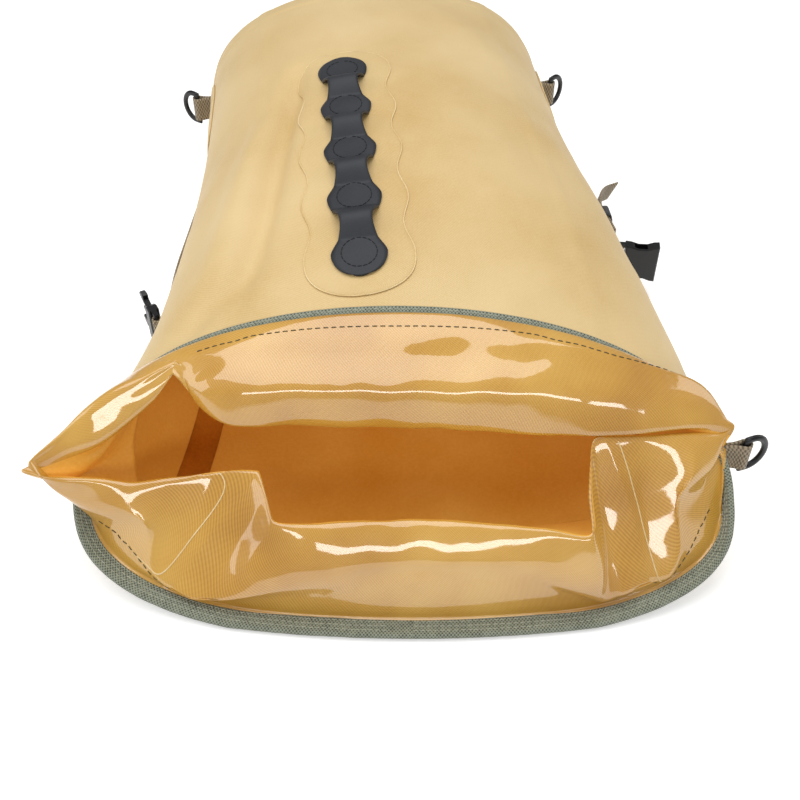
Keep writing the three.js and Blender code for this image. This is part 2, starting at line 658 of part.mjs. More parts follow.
const hingeY = STRAP_ANCHOR_Y - STRAP_SEWN / 2 - CLEARANCE;
const hingeX = sideReach(hingeY) + anchorBottom + WEBBING;
const FEMALE_POINTS = -10; // direction the female half points, in degrees from straight out
const MALE_POINTS = 68;
const RIGHT_BAR_Y = 42; // the straps stand away from the sides at their buckles
const RIGHT_BAR_OUT = 28;
const LEFT_BAR_Y = -12;
const LEFT_BAR_OUT = 22;
const rightBuckleBar = [sideReach(RIGHT_BAR_Y) + RIGHT_BAR_OUT, RIGHT_BAR_Y];
const leftBuckleBar = [sideReach(LEFT_BAR_Y) + LEFT_BAR_OUT, LEFT_BAR_Y];
const KEEPER_Y = 88; // middle of the keeper
const TAIL_START = 98; // where the loose end of the right strap leaves its keeper
const TAIL_GAP = 4.4; // from the strap's line out to the webbing that comes back over it
const tailX = sideReach(TAIL_START) + RIGHT_BAR_OUT + TAIL_GAP;
const KEEPER_HALF_LENGTH = 6; // along the strap
const KEEPER_HALF_REACH = 5.2; // out from the strap, over both layers of webbing
const KEEPER_WALL = 1.2;
const KEEPER_EDGE_WALL = 1.3; // across the webbing's edges
const KEEPER_ROOM = CLEARANCE + 0.3; // beside the webbing's edges
const KEEPER_OUT = 3.3; // its middle, out from the strap's line
const KEEPER_LEAN = 6; // degrees, as the strap runs there
const eyeReach = BAR_RADIUS + EYE_CLEARANCE + WEBBING / 2;

/** The free part of the right strap, in plan, from its anchor to the eye round the buckle's bar. */
const rightStrap = () =>
  join(
    ribbon(
      [
        [hingeX, hingeY], [hingeX + 12, 142], [sideReach(112) + RIGHT_BAR_OUT - 1, 112],
        [sideReach(80) + RIGHT_BAR_OUT + 1.5, 80], [rightBuckleBar[0] - 1.5, RIGHT_BAR_Y + eyeReach],
      ],
      18,
    ),
    eye(...rightBuckleBar, BAR_RADIUS),
  );

/** The free part of the left strap, in plan. It runs past its buckle and curls back round the bar. */
const leftStrap = () =>
  join(
    ribbon(
      [
        [hingeX, hingeY], [hingeX + 8, 140], [sideReach(90) + LEFT_BAR_OUT - 5, 90],
        [sideReach(40) + LEFT_BAR_OUT - 3, 40], [sideReach(8) + LEFT_BAR_OUT - 5.5, 8],
        [leftBuckleBar[0] - 10.3, LEFT_BAR_Y - 2], [leftBuckleBar[0] - 4.5, LEFT_BAR_Y - 11],
        [leftBuckleBar[0] - 1, LEFT_BAR_Y - eyeReach],
      ],
      28,
    ),
    eye(...leftBuckleBar, BAR_RADIUS),
  );

/** The webbing that comes back from the right buckle, along the strap and through the keeper. */
const rightReturn = () =>
  ribbon(
    [
      [sideReach(66) + RIGHT_BAR_OUT + 5.2, 66], [sideReach(80) + RIGHT_BAR_OUT + 5.3, 80],
      [tailX, TAIL_START - 2 * CLEARANCE],
    ],
    6,
  );

/** The loose end of that webbing, which stands out from the strap at its cut end. */
const rightTail = () =>
  ribbon([[tailX, TAIL_START], [tailX + 1, 110], [tailX + 3, 121], [tailX + 8.5, 130], [tailX + 19, 136]], 12);

/** The elastic keeper that holds the tail to the strap. */
function tailKeeper() {
  const half = WEBBING_WIDTH / 2 + KEEPER_ROOM;
  const tall = half + KEEPER_EDGE_WALL;
  const reach = KEEPER_HALF_REACH - KEEPER_WALL;
  const through = KEEPER_HALF_LENGTH + 1;
  const outer = block(
    -KEEPER_HALF_REACH, KEEPER_HALF_REACH, -KEEPER_HALF_LENGTH, KEEPER_HALF_LENGTH, -tall, tall,
  );
  const inner = block(-reach, reach, -through, through, -half, half);
  const x = sideReach(KEEPER_Y) + RIGHT_BAR_OUT + KEEPER_OUT;
  return cut(outer, inner).rotateZ(radians(KEEPER_LEAN)).translate(x, KEEPER_Y, 0);
}

// ---------------------------------------------------------------- assembly
const bag = new THREE.Group();

function add(name, geometry, look, parent = bag) {
  const mesh = new THREE.Mesh(geometry, look);
  mesh.name = name;
  parent.add(mesh);
  return mesh;
}

for (const [name, angles] of Object.entries(panelAngles)) {
  add(name, skin(angles, STATIONS, 0, -CLOTH), shellCloth);
}
add("base_panel", basePanel(), shellCloth);

add("front_right_seam_tape", seamTape(FRONT_SEAM), tapeCloth);
add("front_left_seam_tape", seamTape(180 - FRONT_SEAM), tapeCloth);
add("back_right_seam_tape", seamTape(BACK_SEAM), tapeCloth);
add("back_left_seam_tape", seamTape(180 - BACK_SEAM), tapeCloth);
add("base_seam_tape", baseTape(), tapeCloth);

add("mouth_binding", mouthBinding(), bindingWeave);
const collar = collarRows();
add("collar_right_gusset", collarSector(collar, -5, 4), glossCloth);
add("collar_front", collarSector(collar, 4, 20), glossCloth);
add("collar_left_gusset", collarSector(collar, 20, 29), glossCloth);
add("collar_back", collarSector(collar, 29, 43), glossCloth);

add("lash_patch", onPanel(patchRows, patchHalfWidth, () => patchBottom, PATCH, 8), shellCloth);
add("lash_chain", onPanel(chainRows, chainHalfWidth, (y) => chainBottom + chainLift(y), CHAIN_THICKNESS, 4), lashRubber);

/** A tab and its ring. The ring is turned about its bar by swing degrees from straight out. */
function addRing(name, side, y, z, swing, rootDistance) {
  const x = sidePoint(side, y, z, 0).x + side * TAB_LENGTH;
  add(name + "_tab", ringTab(side, x, y, z, rootDistance), strapWeave);
  const ring = add(name + "_d_ring", dRing(), buckleAcetal);
  ring.position.set(x, y, z);
  ring.rotation.z = radians(side > 0 ? swing : 180 - swing);
}
const ROOT_ROOM = 0.6; // the facets under a tab's root differ a little from its own
const RIM_ROOM = 1.9; // and more beside the binding, where the shell still flares
const onShell = CLEARANCE + ROOT_ROOM;
const onBinding = 2 * CLEARANCE + BINDING_THICKNESS + RIM_ROOM;
const RING_PLACES = [
  // name, side, y and height of its bar, swing in degrees, room under the tab's root
  ["mouth_right", 1, -194, 62, 15, onBinding],
  ["mouth_left", -1, -160, 60, 70, onBinding],
  ["base_right", 1, 236, 70, 40, onShell],
  ["base_left", -1, 236, 70, 40, onShell],
];
for (const place of RING_PLACES) {
  addRing(...place);
}

add("right_side_patch", sidePatch(1), shellCloth);
add("left_side_patch", sidePatch(-1), shellCloth);
/** The straps are drawn for the right side. A half turn about Y carries them to the left side. */
function strapSide(turn) {
  const group = new THREE.Group();
  group.position.z = STRAP_HEIGHT;
  group.rotation.y = radians(turn);
  bag.add(group);
  return group;
}
const rightSide = strapSide(0);
const leftSide = strapSide(180);
add("right_strap_anchor", strapAnchor(1), strapWeave);
add("right_strap", rightStrap(), strapWeave, rightSide);
add("right_strap_return", rightReturn(), strapWeave, rightSide);
add("right_strap_tail", rightTail(), strapWeave, rightSide);
add("tail_keeper", tailKeeper(), lashRubber, rightSide);
add("left_strap_anchor", strapAnchor(-1), strapWeave);
add("left_strap", leftStrap(), strapWeave, leftSide);

/** A buckle half stands with its width upright: its own Y becomes the bag's Z. */
function bucklePlace([x, y], degrees, parent) {
  const place = new THREE.Group();
  place.position.set(x, y, 0);
  place.rotation.set(radians(90), 0, radians(degrees), "ZYX");
  parent.add(place);
  return place;
}
const femalePlace = bucklePlace(rightBuckleBar, FEMALE_POINTS, rightSide);
add("female_buckle", femaleBody(), buckleAcetal, femalePlace);
const malePlace = bucklePlace(leftBuckleBar, MALE_POINTS, leftSide);
add("male_buckle", maleBody(), buckleAcetal, malePlace);
add("upper_prong", maleProng(-1), buckleAcetal, malePlace);
add("lower_prong", maleProng(1), buckleAcetal, malePlace);

export default bag;
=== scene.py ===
"""A roll-top tail bag of coated cloth, lying on its back panel with its mouth open.

Lengths in this file are millimetres in the bag's own frame, and turn to metres where a mesh is made.
+Z is up, +X is to the right of someone facing the mouth, and +Y runs from the mouth to the base.
"""

import logging
import math
from collections.abc import Callable
from dataclasses import dataclass
from enum import Enum

import bmesh
import bpy
import numpy as np
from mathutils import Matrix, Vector, noise

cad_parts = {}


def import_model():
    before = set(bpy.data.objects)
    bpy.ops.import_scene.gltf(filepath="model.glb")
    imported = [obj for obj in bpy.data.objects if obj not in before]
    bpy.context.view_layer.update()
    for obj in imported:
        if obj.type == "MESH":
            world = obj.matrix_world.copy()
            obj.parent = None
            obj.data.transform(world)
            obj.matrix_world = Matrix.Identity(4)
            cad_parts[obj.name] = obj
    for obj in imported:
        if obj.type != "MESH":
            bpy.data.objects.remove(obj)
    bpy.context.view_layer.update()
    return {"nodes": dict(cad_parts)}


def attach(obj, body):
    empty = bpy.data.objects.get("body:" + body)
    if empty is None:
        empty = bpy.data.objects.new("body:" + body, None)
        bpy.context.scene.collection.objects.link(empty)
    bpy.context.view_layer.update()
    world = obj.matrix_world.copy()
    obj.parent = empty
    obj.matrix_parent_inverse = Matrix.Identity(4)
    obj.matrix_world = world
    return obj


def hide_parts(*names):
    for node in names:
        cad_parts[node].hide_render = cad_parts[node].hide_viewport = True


LOG = logging.getLogger("tail_bag")
MM = 0.001
Point = tuple[float, float, float]
Socket = bpy.types.NodeSocket


class Slot(Enum):
    """The record's material slots."""

    SHELL = "shell_cloth"
    GLOSS = "gloss_cloth"
    SEAM_TAPE = "seam_tape"
    BINDING = "binding_tape"
    WEBBING = "webbing"
    RUBBER = "lash_rubber"
    ACETAL = "acetal"


# ---------------------------------------------------------------- numbers and curves
def mix(a: float, b: float, t: float) -> float:
    """A value between a and b."""
    return a + (b - a) * t


def clamp(v: float, lo: float = 0.0, hi: float = 1.0) -> float:
    """v kept between lo and hi."""
    return min(hi, max(lo, v))


def signed_power(v: float, p: float) -> float:
    """The power of a number's size, with the number's sign."""
    return math.copysign(abs(v) ** p, v)


def last_below(lo: float, hi: float, halvings: int, below: Callable[[float], bool]) -> float:
    """The last value between lo and hi at which a test still holds."""
    for _ in range(halvings):
        middle = (lo + hi) / 2
        if below(middle):
            lo = middle
        else:
            hi = middle
    return lo


def smooth_step(v: np.ndarray | float) -> np.ndarray | float:
    """0 to 1 with level ends, for v from 0 to 1."""
    t = np.clip(v, 0, 1)
    return t * t * (3 - 2 * t)


def unit(v: np.ndarray) -> np.ndarray:
    """Vectors along the last axis, made one long."""
    return v / np.maximum(np.linalg.norm(v, axis=-1, keepdims=True), 1e-9)


def step_lengths(line: np.ndarray) -> np.ndarray:
    """The length of each step along a line of points."""
    return np.linalg.norm(np.diff(line, axis=0), axis=-1)


def running(steps: np.ndarray) -> np.ndarray:
    """How far along each point lies, from 0, by the steps between them."""
    return np.concatenate([[0.0], np.cumsum(steps)])


def knot_gaps(points: np.ndarray) -> np.ndarray:
    """The centripetal spacing of a smooth line's control points."""
    gaps = step_lengths(points)
    return np.sqrt(gaps if gaps.ndim == 1 else gaps.mean(axis=1)) + 1e-6


def knot_shares(points: np.ndarray, closed: bool = False) -> np.ndarray:
    """Where each control point of a smooth line lies along it, from 0 to 1.

    Args:
        points: control points, the first axis along the line.
        closed: whether the line closes on itself.
    Returns:
        One share for each control point.
    """
    ring = np.concatenate([points, points[:1]]) if closed else points
    knots = running(knot_gaps(ring))
    return knots[:len(points)] / knots[-1]


def through(points: np.ndarray, count: int, closed: bool = False,
            crisp: np.ndarray | None = None) -> np.ndarray:
    """Smooth lines through rows of control points.

    Args:
        points: control points, the first axis along the line.
        count: how many points come back.
        closed: whether the line closes on itself.
        crisp: for each control point, how much its corner stays sharp, from 0 to 1.
    Returns:
        The points on the line, spaced evenly between knots of centripetal spacing.
    """
    n = len(points)
    if closed:
        ring = np.concatenate([points[-1:], points, points[:2]])
    else:
        ring = np.concatenate([2 * points[:1] - points[1:2], points, 2 * points[-1:] - points[-2:-1]])
    gaps = knot_gaps(ring)
    knots = running(gaps)
    before, after = gaps[:-1], gaps[1:]
    shape = (-1,) + (1,) * (points.ndim - 1)
    before, after = before.reshape(shape), after.reshape(shape)
    slopes = np.diff(ring, axis=0) / gaps.reshape(shape)
    tangents = (slopes[1:] * before + slopes[:-1] * after) / (before + after)
    if crisp is not None:
        soft = 1 - (np.concatenate([crisp, crisp[:1]]) if closed else crisp)
        tangents = tangents * soft.reshape(shape)
    first, last = knots[1], knots[n + 1] if closed else knots[n]
    places = np.linspace(first, last, count, endpoint=not closed)
    out = []
    for t in places:
        k = int(np.clip(np.searchsorted(knots, t, side="right") - 1, 1, n if closed else n - 1))
        h = gaps[k]
        u = (t - knots[k]) / h
        a, b = ring[k], ring[k + 1]
        ta, tb = tangents[k - 1], tangents[k % len(tangents)]
        out.append(a * (2 * u**3 - 3 * u**2 + 1) + b * (3 * u**2 - 2 * u**3)
                   + ta * h * (u**3 - 2 * u**2 + u) + tb * h * (u**3 - u**2))
    return np.array(out)


def all_round(count: int) -> np.ndarray:
    """Angles round the shell in degrees, from the middle of its back and round to it again."""
    return np.linspace(-90, 270, count, endpoint=False)


def crowded(count: int) -> np.ndarray:
    """Shares from -1 to 1, closer together towards both ends."""
    return np.sin(np.radians(np.linspace(-90, 90, count)))


def ripple(p: np.ndarray, size: float, seed: float) -> float:
    """Even noise about 0 at a place, with waves of about size mm."""
    return noise.noise(Vector((p[0] / size + seed, p[1] / size - seed, p[2] / size + 2 * seed)))


# ---------------------------------------------------------------- mesh making
def cloth_coordinates(grid: np.ndarray, closed: bool) -> tuple[np.ndarray, np.ndarray]:
    """How far along the cloth each place of a grid lies, in metres, across and along.

    Args:
        grid: points, rows first.
        closed: whether each row closes on itself.
    Returns:
        Two lists: the way along a row for each column, and the way down the rows for each row.
    """
    steps_across = np.linalg.norm(np.diff(grid, axis=1), axis=-1).mean(axis=0)
    if closed:
        last = np.linalg.norm(grid[:, 0] - grid[:, -1], axis=-1).mean()
        steps_across = np.append(steps_across, last)
    steps_along = np.linalg.norm(np.diff(grid, axis=0), axis=-1).mean(axis=1)
    return running(steps_across) * MM, running(steps_along) * MM


def quads(rows: int, columns: int, closed: bool, start: int = 0) -> list[tuple[int, ...]]:
    """The faces of a grid of points, row by row.

    Args:
        rows: rows of points.
        columns: points in a row.
        closed: whether each row closes on itself.
        start: the number of the grid's first point.
    Returns:
        The corners of each face by number.
    """
    faces = []
    for i in range(rows - 1):
        near, far = start + i * columns, start + (i + 1) * columns
        for j in range(columns if closed else columns - 1):
            k = (j + 1) % columns
            faces.append((near + j, near + k, far + k, far + j))
    return faces


def grid_piece(name: str, grid: np.ndarray, finish: bpy.types.Material, closed: bool = False,
               thickness: float = 0.0, inside: bpy.types.Material | None = None,
               turned: bool = False) -> bpy.types.Object:
    """A sheet of cloth from a grid of points.

    Args:
        name: the piece's name.
        grid: points in mm, rows first.
        finish: the material of its face.
        closed: whether each row closes on itself.
        thickness: cloth thickness in mm, laid on the far side of the grid.
        inside: the material of its other face.
        turned: whether the face looks the other way.
    Returns:
        The object, smooth shaded, with cloth coordinates in metres.
    """
    if turned:
        grid = grid[:, ::-1]
    rows, columns = grid.shape[:2]
    across, along = cloth_coordinates(grid, closed)
    loops = []
    for near, far in zip(along, along[1:]):
        for left, right in zip(across, across[1:]):
            loops += [(left, near), (right, near), (right, far), (left, far)]
    piece = mesh_piece(name, grid.reshape(-1, 3), quads(rows, columns, closed), finish, loops)
    if inside is not None:
        piece.data.materials.append(inside)
    if thickness:
        shell = piece.modifiers.new("cloth", "SOLIDIFY")
        shell.thickness = thickness * MM
        shell.offset = -1
        shell.material_offset = 1 if inside is not None else 0
        shell.use_even_offset = False
    return piece


def weld_points(piece: bpy.types.Object, within: float) -> None:
    """Join the points of a piece that lie closer together than a distance in mm."""
    joined = bmesh.new()
    joined.from_mesh(piece.data)
    bmesh.ops.remove_doubles(joined, verts=joined.verts, dist=within * MM)
    joined.to_mesh(piece.data)
    joined.free()


def mesh_piece(name: str, points: np.ndarray, faces: list[tuple[int, ...]],
               finish: bpy.types.Material,
               loops: list[tuple[float, float]] | None = None) -> bpy.types.Object:
    """A mesh object from points in mm and faces, smooth shaded.

    Args:
        name: the piece's name.
        points: corners in mm.
        faces: corners of each face by number.
        finish: its material.
        loops: cloth coordinates in metres, one for each corner of each face in turn.
    Returns:
        The object.
    """
    mesh = bpy.data.meshes.new(name)
    mesh.from_pydata([tuple(p) for p in np.asarray(points) * MM], [], faces)
    mesh.materials.append(finish)
    mesh.polygons.foreach_set("use_smooth", [True] * len(mesh.polygons))
    if loops is not None:
        layer = mesh.uv_layers.new(name="cloth")
        layer.data.foreach_set("uv", np.array(loops, dtype=np.float32).ravel())
    mesh.update()
    piece = bpy.data.objects.new(name, mesh)
    bpy.context.scene.collection.objects.link(piece)
    return piece


def tube_grid(path: np.ndarray, radius: float, sides: int, closed: bool = False,
              flat: float = 1.0, flat_way: np.ndarray | None = None) -> np.ndarray:
    """Rings of points round a path.

    Args:
        path: the middle line in mm.
        radius: half thickness in mm.
        sides: points round each ring.
        closed: whether the path closes on itself.
        flat: the ring's height over its width.
        flat_way: the direction in which the ring is flattened.
    Returns:
        A grid, one row for each point of the path.
    """
    if closed:
        ahead, behind = np.roll(path, -1, axis=0), np.roll(path, 1, axis=0)
    else:
        ahead = np.vstack([path[1:], 2 * path[-1:] - path[-2:-1]])
        behind = np.vstack([2 * path[:1] - path[1:2], path[:-1]])
    along = unit(ahead - behind)
    helper = np.array([0.13, 0.21, 0.97]) if flat_way is None else flat_way
    side = unit(np.cross(along, helper))
    up = np.cross(side, along)
    angles = np.linspace(0, 2 * math.pi, sides, endpoint=False)
    return np.array([[p + radius * (math.cos(a) * s + flat * math.sin(a) * u) for a in angles]
                     for p, s, u in zip(path, side, up)])


def merged_tubes(name: str, paths: list[np.ndarray], radius: float,
                 finish: bpy.types.Material) -> bpy.types.Object:
    """Many short threads as one piece, each a small tube with closed ends.

    Args:
        name: the piece's name.
        paths: the middle line of each thread in mm.
        radius: thread radius in mm.
        finish: their material.
    Returns:
        The object.
    """
    sides = 6
    points, faces = [], []
    for path in paths:
        start = len(points)
        grid = tube_grid(path, radius, sides)
        points += list(grid.reshape(-1, 3))
        faces += quads(len(path), sides, True, start)
        faces.append(tuple(start + j for j in reversed(range(sides))))
        faces.append(tuple(start + (len(path) - 1) * sides + j for j in range(sides)))
    return mesh_piece(name, np.array(points), faces, finish)


def dashes(line: np.ndarray, length: float, gap: float, sink: float = 0.0,
           out: np.ndarray | None = None) -> list[np.ndarray]:
    """A line of stitches.

    Args:
        line: the line they follow, in mm.
        length: length of one stitch in mm.
        gap: between stitches in mm.
        sink: how far their ends dip into the cloth in mm.
        out: outward directions along the line.
    Returns:
        One short path for each stitch.
    """
    travelled = running(step_lengths(line))
    normals = np.zeros_like(line) if out is None else out

    def at(d: float) -> tuple[np.ndarray, np.ndarray]:
        """The place and the outward direction at a distance along the line."""
        return (np.array([np.interp(d, travelled, line[:, k]) for k in range(3)]),
                np.array([np.interp(d, travelled, normals[:, k]) for k in range(3)]))

    made = []
    start = 0.0
    while start + length < travelled[-1]:
        path = []
        for share, depth in ((0.0, sink), (0.15, 0.0), (0.5, 0.0), (0.85, 0.0), (1.0, sink)):
            place, normal = at(start + share * length)
            path.append(place - normal * depth)
        made.append(np.array(path))
        start += length + gap
    return made


# ---------------------------------------------------------------- finishes
def colour(code: str) -> tuple[float, float, float, float]:
    """An sRGB hex colour as the linear numbers that shaders use."""
    parts = [int(code[i:i + 2], 16) / 255 for i in (1, 3, 5)]
    linear = [c / 12.92 if c <= 0.04045 else ((c + 0.055) / 1.055) ** 2.4 for c in parts]
    return (*linear, 1.0)


def per_metre(period: float) -> float:
    """Radians per metre of a wave that repeats after so many mm."""
    return 2 * math.pi / (period * MM)


class Nodes:
    """The node tree of a material or a world, with the nodes that the finishes share."""

    def __init__(self, owner: bpy.types.Material | bpy.types.World) -> None:
        """Empties the tree.

        Args:
            owner: the new material or world.
        """
        owner.use_nodes = True
        self.owner = owner
        self.tree = owner.node_tree
        self.tree.nodes.clear()

    def add(self, kind: str, inputs: dict | None = None, **settings) -> bpy.types.Node:
        """Adds a node, sets its properties, and fills or links its inputs.

        Args:
            kind: Blender's name for the node.
            inputs: for each input socket by name or number, a value or the socket that feeds it.
            settings: the node's own properties.
        Returns:
            The node.
        """
        made = self.tree.nodes.new(kind)
        for key, value in settings.items():
            setattr(made, key, value)
        for key, value in (inputs or {}).items():
            if isinstance(value, bpy.types.NodeSocket):
                self.tree.links.new(value, made.inputs[key])
            else:
                made.inputs[key].default_value = value
        return made

    def maths(self, operation: str, *values: Socket | float) -> Socket:
        """What an operation makes of its values."""
        return self.add("ShaderNodeMath", dict(enumerate(values)), operation=operation).outputs[0]

    def cloth(self) -> tuple[Socket, Socket]:
        """The two cloth coordinates, in metres."""
        uv = self.add("ShaderNodeUVMap", uv_map="cloth").outputs["UV"]
        parts = self.add("ShaderNodeSeparateXYZ", {0: uv}).outputs
        return parts[0], parts[1]

    def wave(self, way: Socket, turns: float) -> Socket:
        """A sine along a cloth coordinate, by its radians per metre."""
        return self.maths("SINE", self.maths("MULTIPLY", way, turns))

    def noise(self, scale: float, detail: float) -> Socket:
        """Soft noise from 0 to 1 in the object's own space."""
        place = self.add("ShaderNodeTexCoord").outputs["Object"]
        inputs = {"Vector": place, "Scale": scale, "Detail": detail}
        return self.add("ShaderNodeTexNoise", inputs).outputs["Fac"]

    def remap(self, value: Socket, source: tuple[float, float] = (0.0, 1.0),
              target: tuple[float, float] = (0.0, 1.0)) -> Socket:
        """A value moved from one range to another."""
        ends = dict(enumerate((*source, *target), start=1))
        return self.add("ShaderNodeMapRange", {0: value, **ends}).outputs[0]

    def bump(self, height: Socket, strength: float, depth: float) -> Socket:
        """The direction of a surface with relief of so many mm."""
        inputs = {"Strength": strength, "Distance": depth * MM, "Height": height}
        return self.add("ShaderNodeBump", inputs).outputs[0]

    def ramp(self, factor: Socket, *stops: tuple[float, str]) -> Socket:
        """Colours along a factor.

        Args:
            factor: the socket that picks the colour.
            stops: position and sRGB hex colour of each stop, in order.
        Returns:
            The colour socket.
        """
        made = self.add("ShaderNodeValToRGB", {"Fac": factor})
        band = made.color_ramp
        while len(band.elements) < len(stops):
            band.elements.new(0.5)
        for element, (position, code) in zip(band.elements, stops):
            element.position = position
            element.color = colour(code)
        return made.outputs["Color"]

    def principled(self, inputs: dict) -> bpy.types.Material:
        """Ends the material in one principled shader with these inputs, and returns it."""
        shader = self.add("ShaderNodeBsdfPrincipled", inputs)
        self.add("ShaderNodeOutputMaterial", {"Surface": shader.outputs[0]})
        return self.owner


@dataclass(frozen=True)
class Twill:
    """A twill weave drawn in cloth coordinates: slanting ribs, broken into short floats of thread."""

    rib: float  # mm between ribs
    float_length: float = 3.4  # mm of thread over the weft
    slant: float = 0.9  # how far a rib climbs for each mm across
    float_share: float = 0.15  # height of the floats beside the ribs'

    def height(self, nodes: Nodes) -> Socket:
        """Thread height from 0 to 1."""
        x, y = nodes.cloth()
        across = nodes.maths("MULTIPLY", x, self.slant)
        rib = nodes.wave(nodes.maths("ADD", across, y), per_metre(self.rib))
        floats = nodes.wave(nodes.maths("SUBTRACT", across, y), per_metre(self.float_length))
        both = nodes.maths("ADD", rib, nodes.maths("MULTIPLY", floats, self.float_share))
        return nodes.remap(both, (-1 - self.float_share, 1 + self.float_share))


@dataclass(frozen=True)
class CoatedTwill:
    """Polyester twill under a matte coating, calendered: a soft sheen, fine grain, and cloudy tone."""

    light: str = "#E6CB97"
    middle: str = "#DCBF87"
    deep: str = "#CDA968"
    weave: Twill = Twill(1.5)

    def make(self) -> bpy.types.Material:
        """The material."""
        nodes = Nodes(bpy.data.materials.new("coated_twill"))
        cloud, grain = nodes.noise(9.0, 4.0), nodes.noise(900.0, 2.0)
        height = self.weave.height(nodes)
        thread = nodes.maths("MULTIPLY_ADD", height, 0.16, cloud)
        tone = nodes.maths("MULTIPLY_ADD", grain, 0.22, thread)
        relief = nodes.maths("MULTIPLY_ADD", grain, 0.6, height)
        return nodes.principled({
            "Base Color": nodes.ramp(tone, (0.42, self.deep), (0.66, self.middle), (0.95, self.light)),
            "Roughness": nodes.remap(cloud, target=(0.44, 0.58)), "Normal": nodes.bump(relief, 0.35, 0.22),
            "Specular IOR Level": 0.45,
            "Sheen Weight": 0.12, "Sheen Roughness": 0.5, "Sheen Tint": colour("#FFF3DC")})


@dataclass(frozen=True)
class FilmedTwill:
    """The same twill under a clear glossy film: slanting golden threads below hard white highlights."""

    light: str = "#DEAE4A"
    middle: str = "#CC952D"
    deep: str = "#B1791B"
    weave: Twill = Twill(1.55)

    def make(self) -> bpy.types.Material:
        """The material."""
        nodes = Nodes(bpy.data.materials.new("filmed_twill"))
        height = self.weave.height(nodes)
        tone = nodes.maths("MULTIPLY_ADD", height, 0.3, nodes.noise(14.0, 3.0))
        return nodes.principled({
            "Base Color": nodes.ramp(tone, (0.36, self.deep), (0.62, self.middle), (0.92, self.light)),
            "Roughness": 0.42, "Normal": nodes.bump(height, 0.3, 0.3),
            "Coat Normal": nodes.bump(nodes.noise(60.0, 2.0), 0.1, 1.2),
            "Coat Weight": 1.0, "Coat Roughness": 0.06, "Coat IOR": 1.8})


@dataclass(frozen=True)
class OrangeLining:
    """The cloth's coated reverse: satin orange, which deepens where folds shade it, with a faint painted
    glow that brightens it as light through the cloth would.
    """

    light: str = "#EDBC5A"
    deep: str = "#D99A35"
    glow: float = 0.13  # painted glow: emission in the lining's own colour, standing in for the daylight that thin cloth lets through

    def make(self) -> bpy.types.Material:
        """The material."""
        nodes = Nodes(bpy.data.materials.new("orange_lining"))
        grain = nodes.noise(500.0, 1.0)
        tone = nodes.maths("MULTIPLY_ADD", grain, 0.3, nodes.noise(11.0, 4.0))
        base = nodes.ramp(tone, (0.4, self.deep), (0.95, self.light))
        return nodes.principled({
            "Base Color": base, "Roughness": 0.36, "Normal": nodes.bump(grain, 0.25, 0.2),
            # painted glow: the lining emits its own base colour, so its inside looks lit without any lamp
            "Emission Color": base, "Emission Strength": self.glow})


@dataclass(frozen=True)
class RibbedTape:
    """Woven tape: fine ribs across it, crossed by its warp."""

    light: str = "#969B88"
    deep: str = "#3F463B"
    rib: float = 2.1  # mm, drawn a little coarse so that it shows

    def make(self, name: str) -> bpy.types.Material:
        """The material, under a name."""
        nodes = Nodes(bpy.data.materials.new(name))
        along, up = nodes.cloth()
        turns = per_metre(self.rib)
        both = nodes.maths("MULTIPLY", nodes.wave(along, turns), nodes.wave(up, turns * 0.8))
        height = nodes.remap(both, (-1.0, 1.0))
        tone = nodes.maths("MULTIPLY_ADD", nodes.noise(260.0, 3.0), 0.7, height)
        return nodes.principled({
            "Base Color": nodes.ramp(tone, (0.45, self.deep), (1.0, self.light)), "Roughness": 0.78,
            "Normal": nodes.bump(height, 0.9, 0.5), "Sheen Weight": 0.25, "Sheen Roughness": 0.4})


@dataclass(frozen=True)
class LadderWebbing:
    """Polypropylene webbing: raised floats of yarn in short bars across, in columns along it."""

    light: str = "#A8987F"
    deep: str = "#5E523F"
    bar: float = 2.3  # mm between bars along the webbing
    column: float = 4.6  # mm between columns of yarn

    def make(self) -> bpy.types.Material:
        """The material."""
        nodes = Nodes(bpy.data.materials.new("ladder_webbing"))
        along, up = nodes.cloth()
        column = nodes.maths("SIGN", nodes.wave(up, per_metre(self.column)))
        phase = nodes.maths("MULTIPLY", along, per_metre(self.bar))
        bar = nodes.maths("SINE", nodes.maths("MULTIPLY_ADD", column, math.pi / 2, phase))
        height = nodes.remap(bar, (-1.0, 1.0))
        tone = nodes.maths("MULTIPLY_ADD", nodes.noise(400.0, 3.0), 0.6, height)
        return nodes.principled({
            "Base Color": nodes.ramp(tone, (0.25, self.deep), (1.0, self.light)), "Roughness": 0.7,
            "Normal": nodes.bump(height, 0.8, 0.5), "Sheen Weight": 0.2, "Sheen Roughness": 0.4})


@dataclass(frozen=True)
class GrainedSolid:
    """A moulded or calendered solid: one tone with a fine grain and slightly uneven gloss."""

    name: str
    light: str
    deep: str
    grain: float  # grains per metre
    roughness: float
    depth: float  # mm of grain

    def make(self) -> bpy.types.Material:
        """The material."""
        nodes = Nodes(bpy.data.materials.new(self.name))
        grain, cloud = nodes.noise(self.grain, 3.0), nodes.noise(30.0, 3.0)
        tone = nodes.maths("MULTIPLY_ADD", grain, 0.5, cloud)
        rough = nodes.remap(cloud, target=(self.roughness - 0.06, self.roughness + 0.08))
        return nodes.principled({
            "Base Color": nodes.ramp(tone, (0.5, self.deep), (1.0, self.light)), "Roughness": rough,
            "Normal": nodes.bump(grain, 0.4, self.depth), "IOR": 1.48})


@dataclass(frozen=True)
class TwistedThread:
    """Sewing thread: matte, with a twist that breaks its tone."""

    name: str
    light: str
    deep: str

    def make(self) -> bpy.types.Material:
        """The material."""
        nodes = Nodes(bpy.data.materials.new(self.name))
        base = nodes.ramp(nodes.noise(1500.0, 1.0), (0.35, self.deep), (0.65, self.light))
        return nodes.principled({"Base Color": base, "Roughness": 0.7})


